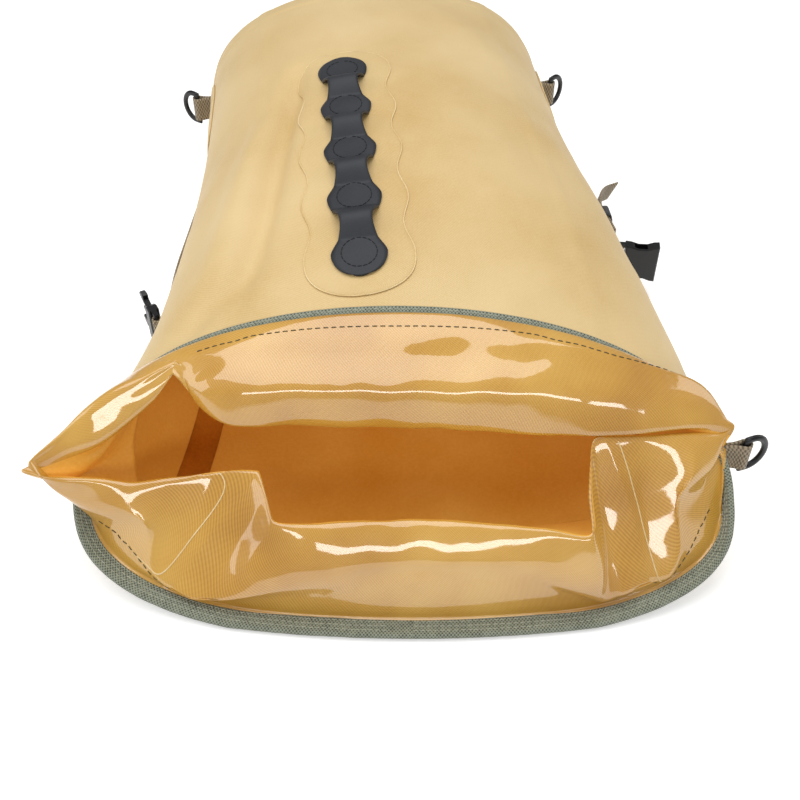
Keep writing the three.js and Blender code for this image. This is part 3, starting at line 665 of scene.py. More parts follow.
class Finishes:
    """Every material of the bag, made once."""

    def __init__(self) -> None:
        """Makes the materials."""
        self.shell = CoatedTwill().make()
        self.gloss = FilmedTwill().make()
        self.lining = OrangeLining().make()
        self.seam_tape = GrainedSolid("seam_tape", "#D8952F", "#B87722", 500.0, 0.45, 0.15).make()
        self.binding = RibbedTape().make("binding_tape")
        self.webbing = LadderWebbing().make()
        self.rubber = GrainedSolid("rubberised_cloth", "#303238", "#212329", 1400.0, 0.55, 0.12).make()
        self.acetal = GrainedSolid("moulded_acetal", "#121317", "#0A0B0D", 700.0, 0.32, 0.05).make()
        self.elastic = RibbedTape(light="#4A4B50", deep="#232428", rib=1.0).make("woven_elastic")
        self.dark_thread = TwistedThread("dark_thread", "#5A5642", "#37352A").make()
        self.black_thread = TwistedThread("black_thread", "#17181B", "#08090A").make()
        self.pale_thread = TwistedThread("pale_thread", "#C3C5B3", "#8F9382").make()
        self.film_edge = GrainedSolid("film_edge", "#F3DFB0", "#DDBB7A", 300.0, 0.3, 0.05).make()


# ---------------------------------------------------------------- the shell's shape
@dataclass(frozen=True)
class ShellForm:
    """The filled body and its flattened mouth, the same form as the frame's."""

    length: float = 540
    half_width: float = 140
    height: float = 170
    widest: float = 72
    mouth_half_width: float = 200
    mouth_height: float = 138
    mouth_widest: float = 48
    mouth_setback: float = 130
    mouth_shift: float = -15
    mouth_turn: float = 0.088
    mouth_bow: float = 25
    flare_end: float = 0.75
    base_setback: float = 8
    base_drop: float = 12
    base_round: float = 30
    rim_lift: float = 3
    rim_lift_end: float = 0.12
    flat_sink: float = 2.5
    sag_end: float = 0.35  # share of the length over which the open mouth leans and bows
    rise_end: float = 0.55  # share of the length over which the body gains its height
    fall_over: float = 0.45
    flare_power: float = 1.5
    top_power: tuple[float, float] = (2.3, 2.0)  # squareness of the section, filled and at the mouth
    bottom_power: tuple[float, float] = (3.6, 3.2)

    def flare(self, s: float) -> float:
        """How much the section at a station takes after the mouth's, from 0 to 1."""
        return clamp(1 - s / self.flare_end)

    def sag(self, s: float) -> float:
        """How much the mouth's lean shows at a station, from 0 to 1."""
        return clamp(1 - s / self.sag_end) ** 2

    def half_width_at(self, s: float) -> float:
        """Half width of the section at a station."""
        return mix(self.half_width, self.mouth_half_width, self.flare(s) ** self.flare_power)

    def surface(self, phi: float, s: float) -> np.ndarray:
        """The outer surface.

        Args:
            phi: degrees round it: 0 right, 90 top, 180 left, 270 underneath.
            s: 0 at the rim to 1 at the base.
        Returns:
            The point in mm.
        """
        flare, sag = self.flare(s), self.sag(s)
        rise = clamp(1 - s / self.rise_end) ** 2
        fall = clamp((s - self.rise_end) / self.fall_over) ** 2
        to_base = (1 - s) * self.length
        r = self.base_round
        inset = r - math.sqrt(r * r - (r - to_base) ** 2) if to_base < r else 0.0
        height = self.height - (self.height - self.mouth_height) * rise - self.base_drop * fall
        half_width = self.half_width_at(s) - inset
        widest = mix(self.widest, self.mouth_widest, flare)
        c, d = math.cos(math.radians(phi)), math.sin(math.radians(phi))
        power = mix(*(self.top_power if d >= 0 else self.bottom_power), flare)
        radius = (height - widest if d >= 0 else widest + self.flat_sink) - inset
        across = signed_power(c, 2 / power)
        x = self.mouth_shift * sag + half_width * across
        z = max(widest + radius * signed_power(d, 2 / power), inset)
        up = clamp(z / height)
        low = -self.length / 2 + s * self.length
        top_length = self.length - self.mouth_setback + self.base_setback
        high = -self.length / 2 + self.mouth_setback + s * top_length
        turned = sag * (self.mouth_bow * across**2 - self.mouth_turn * x)
        lift = self.rim_lift * clamp(1 - s / self.rim_lift_end) ** 2 * (1 - up)
        return np.array([x, mix(low, high, up) + turned, z + lift])

    def normal(self, phi: float, s: float) -> np.ndarray:
        """The outward direction at a place."""
        turn, step = 1.5, 0.004
        around = self.surface(phi + turn, s) - self.surface(phi - turn, s)
        along = self.surface(phi, min(s + step, 1.0)) - self.surface(phi, max(s - step, 0.0))
        return -unit(np.cross(around, along))

    def off(self, phi: float, s: float, distance: float) -> np.ndarray:
        """A point out from the surface by a distance, or in where it is negative."""
        return self.surface(phi, s) + self.normal(phi, s) * distance

    def per_degree(self, phi: float, s: float) -> float:
        """How many mm one degree spans round the surface at a place."""
        return float(np.linalg.norm(self.surface(phi, s) - self.surface(phi + 1, s)))

    def on_top(self, x: float, y: float) -> tuple[float, float]:
        """The angle and station of the place on the upper half straight above (x, y)."""
        lo, hi, phi = 0.0, 1.0, 90.0
        for _ in range(26):
            s = (lo + hi) / 2
            share = clamp((x - self.mouth_shift * self.sag(s)) / self.half_width_at(s), -1, 1)
            phi = math.degrees(math.acos(signed_power(share, mix(*self.top_power, self.flare(s)) / 2)))
            if self.surface(phi, s)[1] < y:
                lo = s
            else:
                hi = s
        return phi, lo

    def station_at(self, phi: float, y: float) -> float:
        """The station at which the surface reaches y at an angle."""
        return last_below(0.0, 1.0, 26, lambda s: self.surface(phi, s)[1] < y)

    def on_side(self, side: int, y: float, z: float) -> tuple[float, float]:
        """The angle and station on the side at y and z; side is 1 on the right and -1 on the left."""
        right = last_below(-60.0, 80.0, 24, lambda a: self.surface(a, self.station_at(a, y))[2] < z)
        phi = right if side > 0 else 180 - right
        return phi, self.station_at(phi, y)


FORM = ShellForm()
RESTING = 12.0  # mm: the cloth below this height rests too flat to crease
RELIEF_RISE = 45.0  # mm of height over which it comes free
FIRM_SHARE = 0.05  # share of the length next to the rim and the base's end that keeps its form
SLACK_WAVES = ((1.3, 75, 3.1), (0.6, 33, 7.7), (0.18, 13, 1.9))  # height and size in mm, and seed


@dataclass(frozen=True)
class Crease:
    """A soft fold in the cloth, from one place to another."""

    start: Point
    end: Point
    depth: float  # mm, below zero for a valley
    width: float  # mm

    def at(self, p: np.ndarray) -> float:
        """How far it lifts the cloth at a place."""
        a, b = np.array(self.start), np.array(self.end)
        share = clamp(float(np.dot(p - a, b - a) / np.dot(b - a, b - a)))
        away = float(np.linalg.norm(p - (a + (b - a) * share)))
        ends = math.sin(math.pi * clamp(0.08 + 0.84 * share)) ** 0.5
        return self.depth * ends * math.exp(-((away / self.width) ** 2))


CREASES = (
    Crease((-64, 120, 162), (-101, -84, 142), -10.0, 9),
    Crease((-104, -60, 144), (-112, -132, 132), -3.0, 8),
    Crease((-106, -84, 142), (-146, -126, 118), -3.5, 8),
    Crease((-92, 60, 150), (-128, -80, 130), 4.5, 12),
    Crease((150, -70, 108), (60, -120, 142), 2.4, 14),
    Crease((140, -105, 108), (70, -128, 136), -2.0, 11),
    Crease((146, -10, 120), (95, 70, 162), 1.8, 20),
    Crease((-152, 20, 100), (-120, 120, 150), -1.6, 16),
    Crease((120, 120, 150), (145, 210, 110), -1.6, 16),
    Crease((60, 200, 158), (110, 110, 160), 1.4, 16),
)


def cloth_relief(p: np.ndarray) -> float:
    """How far the filled cloth stands out or sinks in at a place: creases and slack between them."""
    free = smooth_step((p[2] - RESTING) / RELIEF_RISE)
    slack = sum(height * ripple(p, size, seed) for height, size, seed in SLACK_WAVES)
    return float(free) * (slack + sum(c.at(p) for c in CREASES))


def relaxed(phi: float, s: float, distance: float = 0.0) -> np.ndarray:
    """A point off the shell as it lies, with its creases."""
    p, n = FORM.surface(phi, s), FORM.normal(phi, s)
    free = smooth_step(s / FIRM_SHARE) * smooth_step((1.0 - s) / FIRM_SHARE)
    return p + n * (distance + float(free) * cloth_relief(p))


# ---------------------------------------------------------------- shell, tapes, patches
@dataclass
class BagShell:
    """The five welded panels as one lofted, sagging shell, with weld lines along their seams."""

    finishes: Finishes
    cloth: float = 1.2
    front_seam: float = 52.0
    back_seam: float = -40.0
    base_seam: float = 0.922  # share of the length where the base's edge is welded on
    columns: int = 264
    rows: int = 84
    weld_half_width: float = 5.0  # mm
    weld_height: float = 0.45  # mm
    weld_fade: tuple[float, float] = (1.15, 0.3)  # half widths: where its ridge ends, and its slope's reach
    cap_middle: tuple[float, float] = (4.0, 74.0)  # mm past the body's length, and above the floor
    panels: tuple[str, ...] = (
        "front_panel", "back_panel", "right_side_panel", "left_side_panel", "base_panel")

    def weld(self, phi: float, s: float) -> float:
        """The low ridge of an overlapped weld at an angle and a share of the length."""
        away = [abs(s - self.base_seam) * FORM.length]
        for seam in (self.front_seam, 180 - self.front_seam, self.back_seam + 360, 180 - self.back_seam):
            away.append(abs((phi - seam + 180) % 360 - 180) * FORM.per_degree(seam, s))
        end, slope = self.weld_fade
        return self.weld_height * float(smooth_step((end - min(away) / self.weld_half_width) / slope))

    def build(self) -> bpy.types.Object:
        """The shell with its base closed.

        Returns:
            The object, which replaces the frame's five panels.
        """
        angles = all_round(self.columns)
        stations = np.concatenate([  # the body, then finer rows at the base's weld and round its edge
            np.linspace(0, 0.9, self.rows - 28), np.linspace(0.904, 0.942, 12),
            np.linspace(0.948, 0.9985, 16)])
        wall = [[relaxed(a, s, self.weld(a, s)) for a in angles] for s in stations]
        rim = np.array(wall[-1])
        past, height = self.cap_middle
        middle = np.array([0.0, FORM.length / 2 + past, height])
        cap = []
        for share in (0.93, 0.82, 0.66, 0.48, 0.3, 0.14, 0.04, 0.00005):
            ring = middle + (rim - middle) * share
            ring[:, 1] = share * rim[:, 1] + (1 - share) * middle[1] + 4.0 * (1 - share**2)
            cap.append(ring + np.array([[0, 0.8 * ripple(p, 60, 5.0), 0] for p in ring]))
        grid = np.array(wall + cap)
        shell = grid_piece("bag_shell", grid, self.finishes.shell, closed=True, thickness=self.cloth,
                           inside=self.finishes.lining, turned=True)
        weld_points(shell, 0.02)
        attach(shell, "bag")
        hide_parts(*self.panels)
        return shell


@dataclass
class SeamTapes:
    """Tapes welded inside along the seams and round the base."""

    finishes: Finishes
    half_width: float = 10.0
    tape: float = 0.5
    depth: float = 1.9
    seams: tuple[tuple[str, float], ...] = (
        ("front_right_seam_tape", 52.0), ("front_left_seam_tape", 128.0),
        ("back_right_seam_tape", -40.0), ("back_left_seam_tape", 220.0))

    def long_tape(self, seam: float) -> np.ndarray:
        """A tape's grid along one seam."""
        rows = []
        for s in np.linspace(0.12, 0.9, 60):
            half = self.half_width / max(FORM.per_degree(seam, s), 0.8)
            rows.append([relaxed(seam + half * u, s, -self.depth) for u in (-1, -0.5, 0, 0.5, 1)])
        return np.array(rows)

    def build(self) -> list[bpy.types.Object]:
        """The four long tapes and the base tape."""
        made = []
        for name, seam in self.seams:
            made.append(grid_piece(name + "_welded", self.long_tape(seam), self.finishes.seam_tape,
                                   thickness=self.tape))
            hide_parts(name)
        angles = all_round(132)
        ring = np.array([[relaxed(a, s, -self.depth) for a in angles] for s in (0.905, 0.92, 0.938)])
        made.append(grid_piece("base_seam_tape_welded", ring, self.finishes.seam_tape, closed=True,
                               thickness=self.tape))
        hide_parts("base_seam_tape")
        for piece in made:
            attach(piece, "bag")
        return made


def cushion_edge(share: float, reach: float = 0.12) -> float:
    """How far a patch has fallen towards its edge: 1 in its middle and 0 at its very edge."""
    return math.sqrt(clamp(1 - max(0.0, (share - 1 + reach) / reach) ** 2))


@dataclass
class LashChain:
    """The rubberised chain of loops, stitched down in rings on a welded patch."""

    finishes: Finishes
    x: float = -32
    start: float = -88
    pitch: float = 48
    lobes: int = 5
    lobe_half: float = 17.5
    neck_half: float = 10
    thickness: float = 1.8
    stitch_radius: float = 11
    arch: float = 8
    margin: float = 17
    end_margin: float = 13
    patch_wave: float = 2.5
    patch: float = 0.8
    patch_bottom: float = 0.6
    chain_bottom: float = 1.75

    @property
    def end(self) -> float:
        """The last stitched ring's middle."""
        return self.start + (self.lobes - 1) * self.pitch

    def phase(self, y: float) -> float:
        """How many lobes lie between the first ring's middle and y."""
        return (y - self.start) / self.pitch

    def patch_ys(self, count: int) -> np.ndarray:
        """Places along the patch, closer together towards its ends."""
        ends = (self.lobe_half + self.end_margin) * 0.995
        low, high = self.start - ends, self.end + ends
        return low + (high - low) * (1 + crowded(count)) / 2

    def half_width(self, y: float) -> float:
        """Half width of the chain at y."""
        past = max(self.start - y, y - self.end)
        if past > 0:
            return self.lobe_half * math.sqrt(max(1 - (past / self.lobe_half) ** 2, 0.004))
        share = self.phase(y) % 1
        return mix(self.neck_half, self.lobe_half, (1 + math.cos(2 * math.pi * share**0.8)) / 2)

    def lift(self, y: float) -> float:
        """Height of the chain's underside over the patch at y."""
        if y < self.start or y > self.end:
            return 0.0
        along = self.phase(y) % 1 * self.pitch - self.stitch_radius
        free = self.pitch - 2 * self.stitch_radius
        return self.arch * math.sin(math.pi * along / free) if 0 < along < free else 0.0

    def patch_half_width(self, y: float) -> float:
        """Half width of the welded patch at y: the chain's outline, moved out."""
        reach, ends = self.lobe_half + self.margin, self.lobe_half + self.end_margin
        past = max(self.start - y, y - self.end)
        if past > 0:
            return reach * math.sqrt(max(1 - (past / ends) ** 2.6, 0.004))
        return reach - self.patch_wave * (1 - math.cos(2 * math.pi * self.phase(y)))

    def place(self, x: float, y: float, height: float) -> np.ndarray:
        """A point over the front panel."""
        return relaxed(*FORM.on_top(x, y), height)

    def patch_grid(self) -> np.ndarray:
        """The patch's top face, with edges that fall to the panel."""
        ys = self.patch_ys(70)
        rows = []
        for y in ys:
            half = self.patch_half_width(y)
            end = clamp(min(y - ys[0], ys[-1] - y) / 2 + 0.2)
            rows.append([self.place(self.x + u * half, y,
                                    self.patch_bottom + self.patch * min(cushion_edge(abs(u)), end))
                         for u in crowded(21)])
        return np.array(rows)

    def chain_grid(self) -> np.ndarray:
        """The chain's top face."""
        reach = self.lobe_half * 0.995
        rows = []
        for y in np.linspace(self.start - reach, self.end + reach, 240):
            half = self.half_width(y)
            rows.append([self.place(self.x + u * half, y, self.chain_bottom + self.lift(y) + self.thickness
                                    - 0.5 * (1 - cushion_edge(abs(u), 0.2)))
                         for u in np.linspace(-1, 1, 13)])
        return np.array(rows)

    def build(self) -> list[bpy.types.Object]:
        """The patch with its pale film edge, the chain, and the rings of stitches."""
        patch = grid_piece("lash_patch_welded", self.patch_grid(), self.finishes.shell, thickness=self.patch)
        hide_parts("lash_patch")
        chain = grid_piece("lash_chain_sewn", self.chain_grid(), self.finishes.rubber,
                           thickness=self.thickness)
        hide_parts("lash_chain")
        made = [patch, chain, self.film_edge(), self.rings()]
        for piece in made:
            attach(piece, "bag")
        return made

    def film_edge(self) -> bpy.types.Object:
        """The thin bright line that the weld leaves round the patch."""
        ys = self.patch_ys(120)
        loop = [self.place(self.x + self.patch_half_width(y), y, 0.8) for y in ys]
        loop += [self.place(self.x - self.patch_half_width(y), y, 0.8) for y in reversed(ys)]
        line = np.array(loop + loop[:1])
        return merged_tubes("lash_patch_film_edge", [line], 0.4, self.finishes.film_edge)

    def rings(self) -> bpy.types.Object:
        """Rings of dark stitches, one on each lobe."""
        threads = []
        for k in range(self.lobes):
            ring = []
            for a in np.radians(np.linspace(100, 455, 120)):
                x = self.x + self.stitch_radius * math.cos(a)
                y = self.start + k * self.pitch + self.stitch_radius * math.sin(a)
                ring.append(self.place(x, y, self.chain_bottom + self.lift(y) + self.thickness + 0.12))
            threads += dashes(np.array(ring), 2.6, 0.9, 0.25, np.tile([0.0, 0.0, 1.0], (len(ring), 1)))
        return merged_tubes("lash_chain_stitches", threads, 0.32, self.finishes.black_thread)


# ---------------------------------------------------------------- binding
@dataclass
class MouthBinding:
    """Woven tape folded round the rim and sewn through with three rows of pale thread."""

    finishes: Finishes
    width: float = 11.0
    thickness: float = 1.1
    clearance: float = 0.35
    cloth: float = 1.2
    columns: int = 420
    stitch_rows: tuple[float, ...] = (2.4, 5.6, 8.8)  # mm from the fold

    def frame_at(self, phi: float) -> tuple[np.ndarray, np.ndarray, np.ndarray]:
        """The rim's point, the way in along the shell, and outwards, at an angle."""
        rim = FORM.surface(phi, 0)
        return rim, unit(FORM.surface(phi, 0.05) - rim), FORM.normal(phi, 0)

    def pucker(self, rim: np.ndarray) -> float:
        """How far the stitches pull the tape in or let it out at a place on the rim."""
        return 0.7 * (0.35 * ripple(rim, 9, 2.2) + 0.3 * ripple(rim, 24, 4.0))

    def profile(self) -> list[tuple[float, float]]:
        """The tape's section from its outer edge round the fold: in along the shell, and outwards."""
        outer = self.clearance + self.thickness
        inner = -self.cloth - outer
        middle, reach = (outer + inner) / 2, (outer - inner) / 2
        fold = [(-self.clearance - self.thickness * math.cos(a) * 0.9, middle - reach * math.sin(a))
                for a in np.linspace(-math.pi / 2, math.pi / 2, 9)]
        edge = self.width
        out_leg = [(edge, self.clearance), (edge, outer - 0.25)]
        out_leg += [(w, outer) for w in (edge - 0.5, 8, 5.5, 3, 1)]
        in_leg = [(w, inner) for w in (1, 3, 5.5, 8, edge - 0.5)]
        in_leg += [(edge, inner + 0.25), (edge, -self.cloth - self.clearance)]
        return out_leg + fold + in_leg

    def build(self) -> list[bpy.types.Object]:
        """The tape and its stitches."""
        section = self.profile()
        angles = all_round(self.columns)
        columns = []
        for phi in angles:
            rim, inward, out = self.frame_at(phi)
            pucker = self.pucker(rim)
            columns.append([rim + inward * a + out * (n + (pucker if a < self.width - 1 else 0.3 * pucker))
                            for a, n in section])
        grid = np.array(columns).transpose(1, 0, 2)
        tape = grid_piece("mouth_binding_sewn", grid, self.finishes.binding, closed=True)
        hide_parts("mouth_binding")
        made = [tape, self.stitches(angles)]
        for piece in made:
            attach(piece, "bag")
        return made

    def stitches(self, angles: np.ndarray) -> bpy.types.Object:
        """Three rows of pale stitches on each leg of the tape."""
        threads = []
        inner = -self.cloth - self.clearance - self.thickness - 0.05
        for row in self.stitch_rows:
            for height, way in ((self.clearance + self.thickness + 0.05, 1), (inner, -1)):
                line, out = [], []
                for phi in angles:
                    rim, inward, normal = self.frame_at(phi)
                    line.append(rim + inward * row + normal * (height + self.pucker(rim)))
                    out.append(normal * way)
                threads += dashes(np.array(line), 2.9, 1.1, 0.3, np.array(out))
        return merged_tubes("mouth_binding_stitches", threads, 0.28, self.finishes.pale_thread)


# ---------------------------------------------------------------- collar
@dataclass(frozen=True)
class Gather:
    """One place round the collar, where the sleeve is drawn from its seam over a belly to its lip."""

    name: str
    seam: float  # angle on the rim, degrees
    belly: Point
    lip: Point
    swell: float = 4.0  # mm that the cloth stands out between belly and lip
    crisp: float = 0.0  # how sharp the fold is that runs along it


GATHERS = (
    Gather("right_tip", 12, (177, -181, 92), (186, -191, 79), 1.5, 0.7),
    Gather("upper_right_end", 33, (165, -172, 105), (159, -192, 88), 6),
    Gather("upper_right", 54, (105, -167, 122), (105, -198, 92), 9),
    Gather("upper_mid_right", 75, (47, -165, 130), (43, -192, 94), 12),
    Gather("upper_middle", 90, (-15, -162, 132), (-18, -186, 97), 11),
    Gather("upper_mid_left", 105, (-71, -155, 130), (-75, -179, 97), 12),
    Gather("upper_left", 120, (-115, -151, 126), (-117, -175, 99), 10),
    Gather("left_turn", 129, (-133, -150, 121), (-131, -164, 102), 6, 0.2),
    Gather("left_drop", 133, (-140, -147, 120), (-138, -157, 109), 2, 0.1),
    Gather("apex", 138, (-146, -143, 121), (-147, -149, 116), 0.5, 0.75),
    Gather("band_upper", 144, (-160, -147, 118), (-160, -157, 103), 5),
    Gather("band_middle", 155, (-190, -155, 107), (-191, -171, 87), 8),
    Gather("band_lower", 166, (-217, -167, 89), (-215, -174, 77), 4),
    Gather("left_tip", 178, (-234, -174, 76), (-239, -179, 71), 0.5, 0.7),
    Gather("sleeve_outer", 187, (-221, -189, 63), (-218, -187, 73), 2),
    Gather("sleeve_middle", 195, (-197, -197, 51), (-197, -188, 71), 3),
    Gather("sleeve_end", 203, (-172, -206, 48), (-174, -190, 68), 6, 0.2),
    Gather("fan_first", 212, (-169, -214, 32), (-148, -190, 70), 2),
    Gather("fan_second", 219, (-165, -224, 21), (-124, -190, 73), 1),
    Gather("ridge", 226, (-157, -230, 16), (-101, -195, 75), 4, 0.8),
    Gather("ridge_foot", 231, (-143, -238, 14), (-97, -208, 70), -4, 0.2),
    Gather("low_left", 239, (-122, -243, 18), (-93, -223, 63), 0, 0.3),
    Gather("low_mid_left", 253, (-80, -247, 32), (-70, -227, 63), 5),
    Gather("low_middle", 270, (-15, -249, 38), (-11, -230, 64), 6),
    Gather("low_right", 288, (57, -256, 36), (62, -241, 62), 5),
    Gather("fold_foot", 299, (98, -261, 15), (91, -246, 61), 5, 0.3),
    Gather("fold_side", 303, (106, -259, 17), (93, -222, 72), 1, 0.2),
    Gather("fold_top", 307, (113, -258, 20), (98, -199, 88), -3, 0.2),
    Gather("ridge_right", 313, (130, -251, 18), (105, -198, 90), 3, 0.8),
    Gather("gusset_face", 320, (141, -250, 22), (126, -197, 87), -6, 0.1),
    Gather("flap_left", 329, (149, -239, 36), (140, -196, 85), 0, 0.3),
    Gather("flap_corner", 338, (147, -225, 56), (158, -194, 83), 6, 0.6),
    Gather("flap_right", 350, (166, -212, 56), (174, -193, 81), 4, 0.2),
)
GATHER_NAMES = [g.name for g in GATHERS]


@dataclass
class Collar:
    """The soft sleeve sewn inside the mouth: it rolls out over the binding and falls to a folded lip."""

    finishes: Finishes
    cloth: float = 0.9
    columns: int = 600
    rows: int = 72
    seam_in: float = 3.6  # mm inside the shell's face, clear of the binding
    tape_edge: float = 12.0  # mm from the rim: below, the sleeve comes out from under the binding's edge
    cuff: float = 4.5  # mm of the binding's upper leg that the rolled sleeve covers
    stitch_in: float = 8.0  # mm of cloth to its line of stitches
    inside_station: float = 0.13
    lining_in: float = 13.0  # mm inside the shell's face at which the lining ends
    middle: Point = (-15.0, -120.0, 60.0)  # inside the mouth, from where folds swell outwards
    shown: tuple[tuple[str, str], ...] = (  # elsewhere a fold lies over the stitches
        ("right_tip", "left_turn"), ("sleeve_middle", "ridge_foot"), ("ridge_right", "flap_right"))
    crest: int = 2  # place of the crest and the lip among a column's points
    lip: int = 6
    film_lines: tuple[tuple[tuple[str, float, float], ...], ...] = (  # gather, share to the next, share down
        (("fan_second", 0.0, 0.99), ("fan_second", 0.4, 0.86), ("fan_second", 0.35, 0.66),
         ("fan_second", 0.1, 0.48), ("fan_first", 0.7, 0.34), ("fan_first", 0.3, 0.24),
         ("sleeve_end", 0.8, 0.16)),
        (("ridge_right", 0.45, 0.97), ("ridge_right", 0.6, 0.7), ("ridge_right", 0.55, 0.4),
         ("ridge_right", 0.45, 0.12)),
    )
    nodes: tuple[str, ...] = ("collar_front", "collar_left_gusset", "collar_back", "collar_right_gusset")

    def column(self, gather: Gather) -> np.ndarray:
        """The sleeve's path at one gather, from its seam over crest, belly and lip to its lining's end."""
        belly, lip = np.array(gather.belly), np.array(gather.lip)
        phi = gather.seam
        elevation = phi if phi < 90 else 180 - phi
        below = float(smooth_step((12 - elevation) / 20))  # 1 under the mouth, where the sleeve hangs
        beside = (1 - below) * float(smooth_step((40 - abs((phi + 90) % 180 - 90)) / 20))  # 1 at its tips
        rim, out = FORM.surface(phi, 0), FORM.normal(phi, 0)
        inward = unit(FORM.surface(phi, 0.05) - rim)
        seam = rim + inward * mix(18, self.tape_edge - 2, below) - out * mix(self.seam_in, 2.2, below)
        throat = rim + inward * mix(-2.4, self.tape_edge, below) - out * mix(0.6, self.seam_in, below)
        crest = mix(rim + inward * self.cuff + out * 3.2, mix(throat, belly, 0.12), below)
        slope = mix(crest, belly, 0.5) + out * mix(2.0, 0.5, below)
        halfway = (belly + lip) / 2
        shoulder = halfway + unit(halfway - np.array(self.middle)) * gather.swell
        target = FORM.off(phi, self.inside_station, -self.lining_in)
        tuck = mix(lip + unit(target - lip) * 9, rim - out * 12 - inward * 2, beside)
        slack = mix(lip, target, 0.55) + np.array([0, 0, -3.0])
        lining = mix(slack, FORM.off(phi, 0.05, -self.lining_in), beside)
        return np.array([seam, throat, crest, slope, belly, shoulder, lip, tuck, lining, target])

    def grid(self) -> tuple[np.ndarray, np.ndarray, np.ndarray]:
        """The whole sleeve, with the small waves of slack cloth.

        Returns:
            The grid, and where each gather and each of a column's points lies in it, from 0 to 1.
        """
        stations = np.array([self.column(g) for g in GATHERS])
        crisp = np.array([g.crisp for g in GATHERS])
        around = through(stations, self.columns, closed=True, crisp=crisp).transpose(1, 0, 2)
        grid = through(around, self.rows)
        normals = self.normals(grid)
        for i, share in enumerate(np.linspace(0, 1, self.rows)):
            free = float(smooth_step((share - 0.2) / 0.15))
            for j in range(self.columns):
                p = grid[i, j]
                wave = 1.6 * ripple(p * np.array([1, 0.45, 0.45]), 42, 0.7) + 0.8 * ripple(p, 19, 5.3)
                grid[i, j] = p + normals[i, j] * free * wave
        return grid, knot_shares(stations, closed=True), knot_shares(around)

    def normals(self, grid: np.ndarray) -> np.ndarray:
        """Directions square to the grid."""
        around = np.roll(grid, -1, axis=1) - np.roll(grid, 1, axis=1)
        along = np.gradient(grid, axis=0)
        return unit(np.cross(around, along))

    def build(self) -> list[bpy.types.Object]:
        """The sleeve, its line of stitches and the film edges on its gussets."""
        grid, around, down = self.grid()
        sleeve = grid_piece("collar_sleeve", grid, self.finishes.gloss, closed=True, thickness=self.cloth)
        sleeve.modifiers["cloth"].offset = 0
        sleeve.data.materials.append(self.finishes.lining)
        first_lining = (int(down[self.lip] * (self.rows - 1)) + 1) * self.columns
        for face in sleeve.data.polygons[first_lining:]:
            face.material_index = 1
        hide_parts(*self.nodes)
        made = [sleeve, self.stitches(grid, around, down), self.film_edges(grid, around, down)]
        for piece in made:
            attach(piece, "bag")
        return made

    def stitches(self, grid: np.ndarray, around: np.ndarray, down: np.ndarray) -> bpy.types.Object:
        """Dark stitches a little way from the binding, where no fold covers them."""
        normals = self.normals(grid)
        crest_row = int(round(down[self.crest] * (self.rows - 1)))
        line, out = [], []
        for j in range(self.columns):
            travelled = 0.0
            i = crest_row
            while travelled < self.stitch_in:
                travelled += float(np.linalg.norm(grid[i + 1, j] - grid[i, j]))
                i += 1
            line.append(grid[i, j] + normals[i, j] * 0.65)
            out.append(normals[i, j])
        smooth = np.array(line)
        for _ in range(6):
            smooth = (np.roll(smooth, 1, axis=0) + smooth * 2 + np.roll(smooth, -1, axis=0)) / 4
        threads = []
        for first, last in self.shown:
            start, stop = (int(around[GATHER_NAMES.index(name)] * self.columns) for name in (first, last))
            threads += dashes(smooth[start:stop], 3.2, 1.6, 0.5, np.array(out)[start:stop])
        return merged_tubes("collar_stitches", threads, 0.3, self.finishes.dark_thread)

    def film_edges(self, grid: np.ndarray, around: np.ndarray, down: np.ndarray) -> bpy.types.Object:
        """Bright beads where the film on the gussets ends."""
        normals = self.normals(grid)
        around = np.append(around, 1.0)
        paths = []
        for film in self.film_lines:
            points = []
            for name, beyond, share in film:
                k = GATHER_NAMES.index(name)
                points.append((mix(around[k], around[k + 1], beyond),
                               mix(down[self.crest], down[self.lip], share)))
            path = []
            for u, v in through(np.array(points), 60):
                j, i = int(u * self.columns) % self.columns, int(v * (self.rows - 1))
                a, b = u * self.columns % 1, v * (self.rows - 1) % 1
                near = mix(grid[i, j], grid[i, (j + 1) % self.columns], a)
                far = mix(grid[i + 1, j], grid[i + 1, (j + 1) % self.columns], a)
                path.append(mix(near, far, b) + normals[i, j] * 0.5)
            paths.append(np.array(path))
        return merged_tubes("collar_film_edges", paths, 0.4, self.finishes.film_edge)


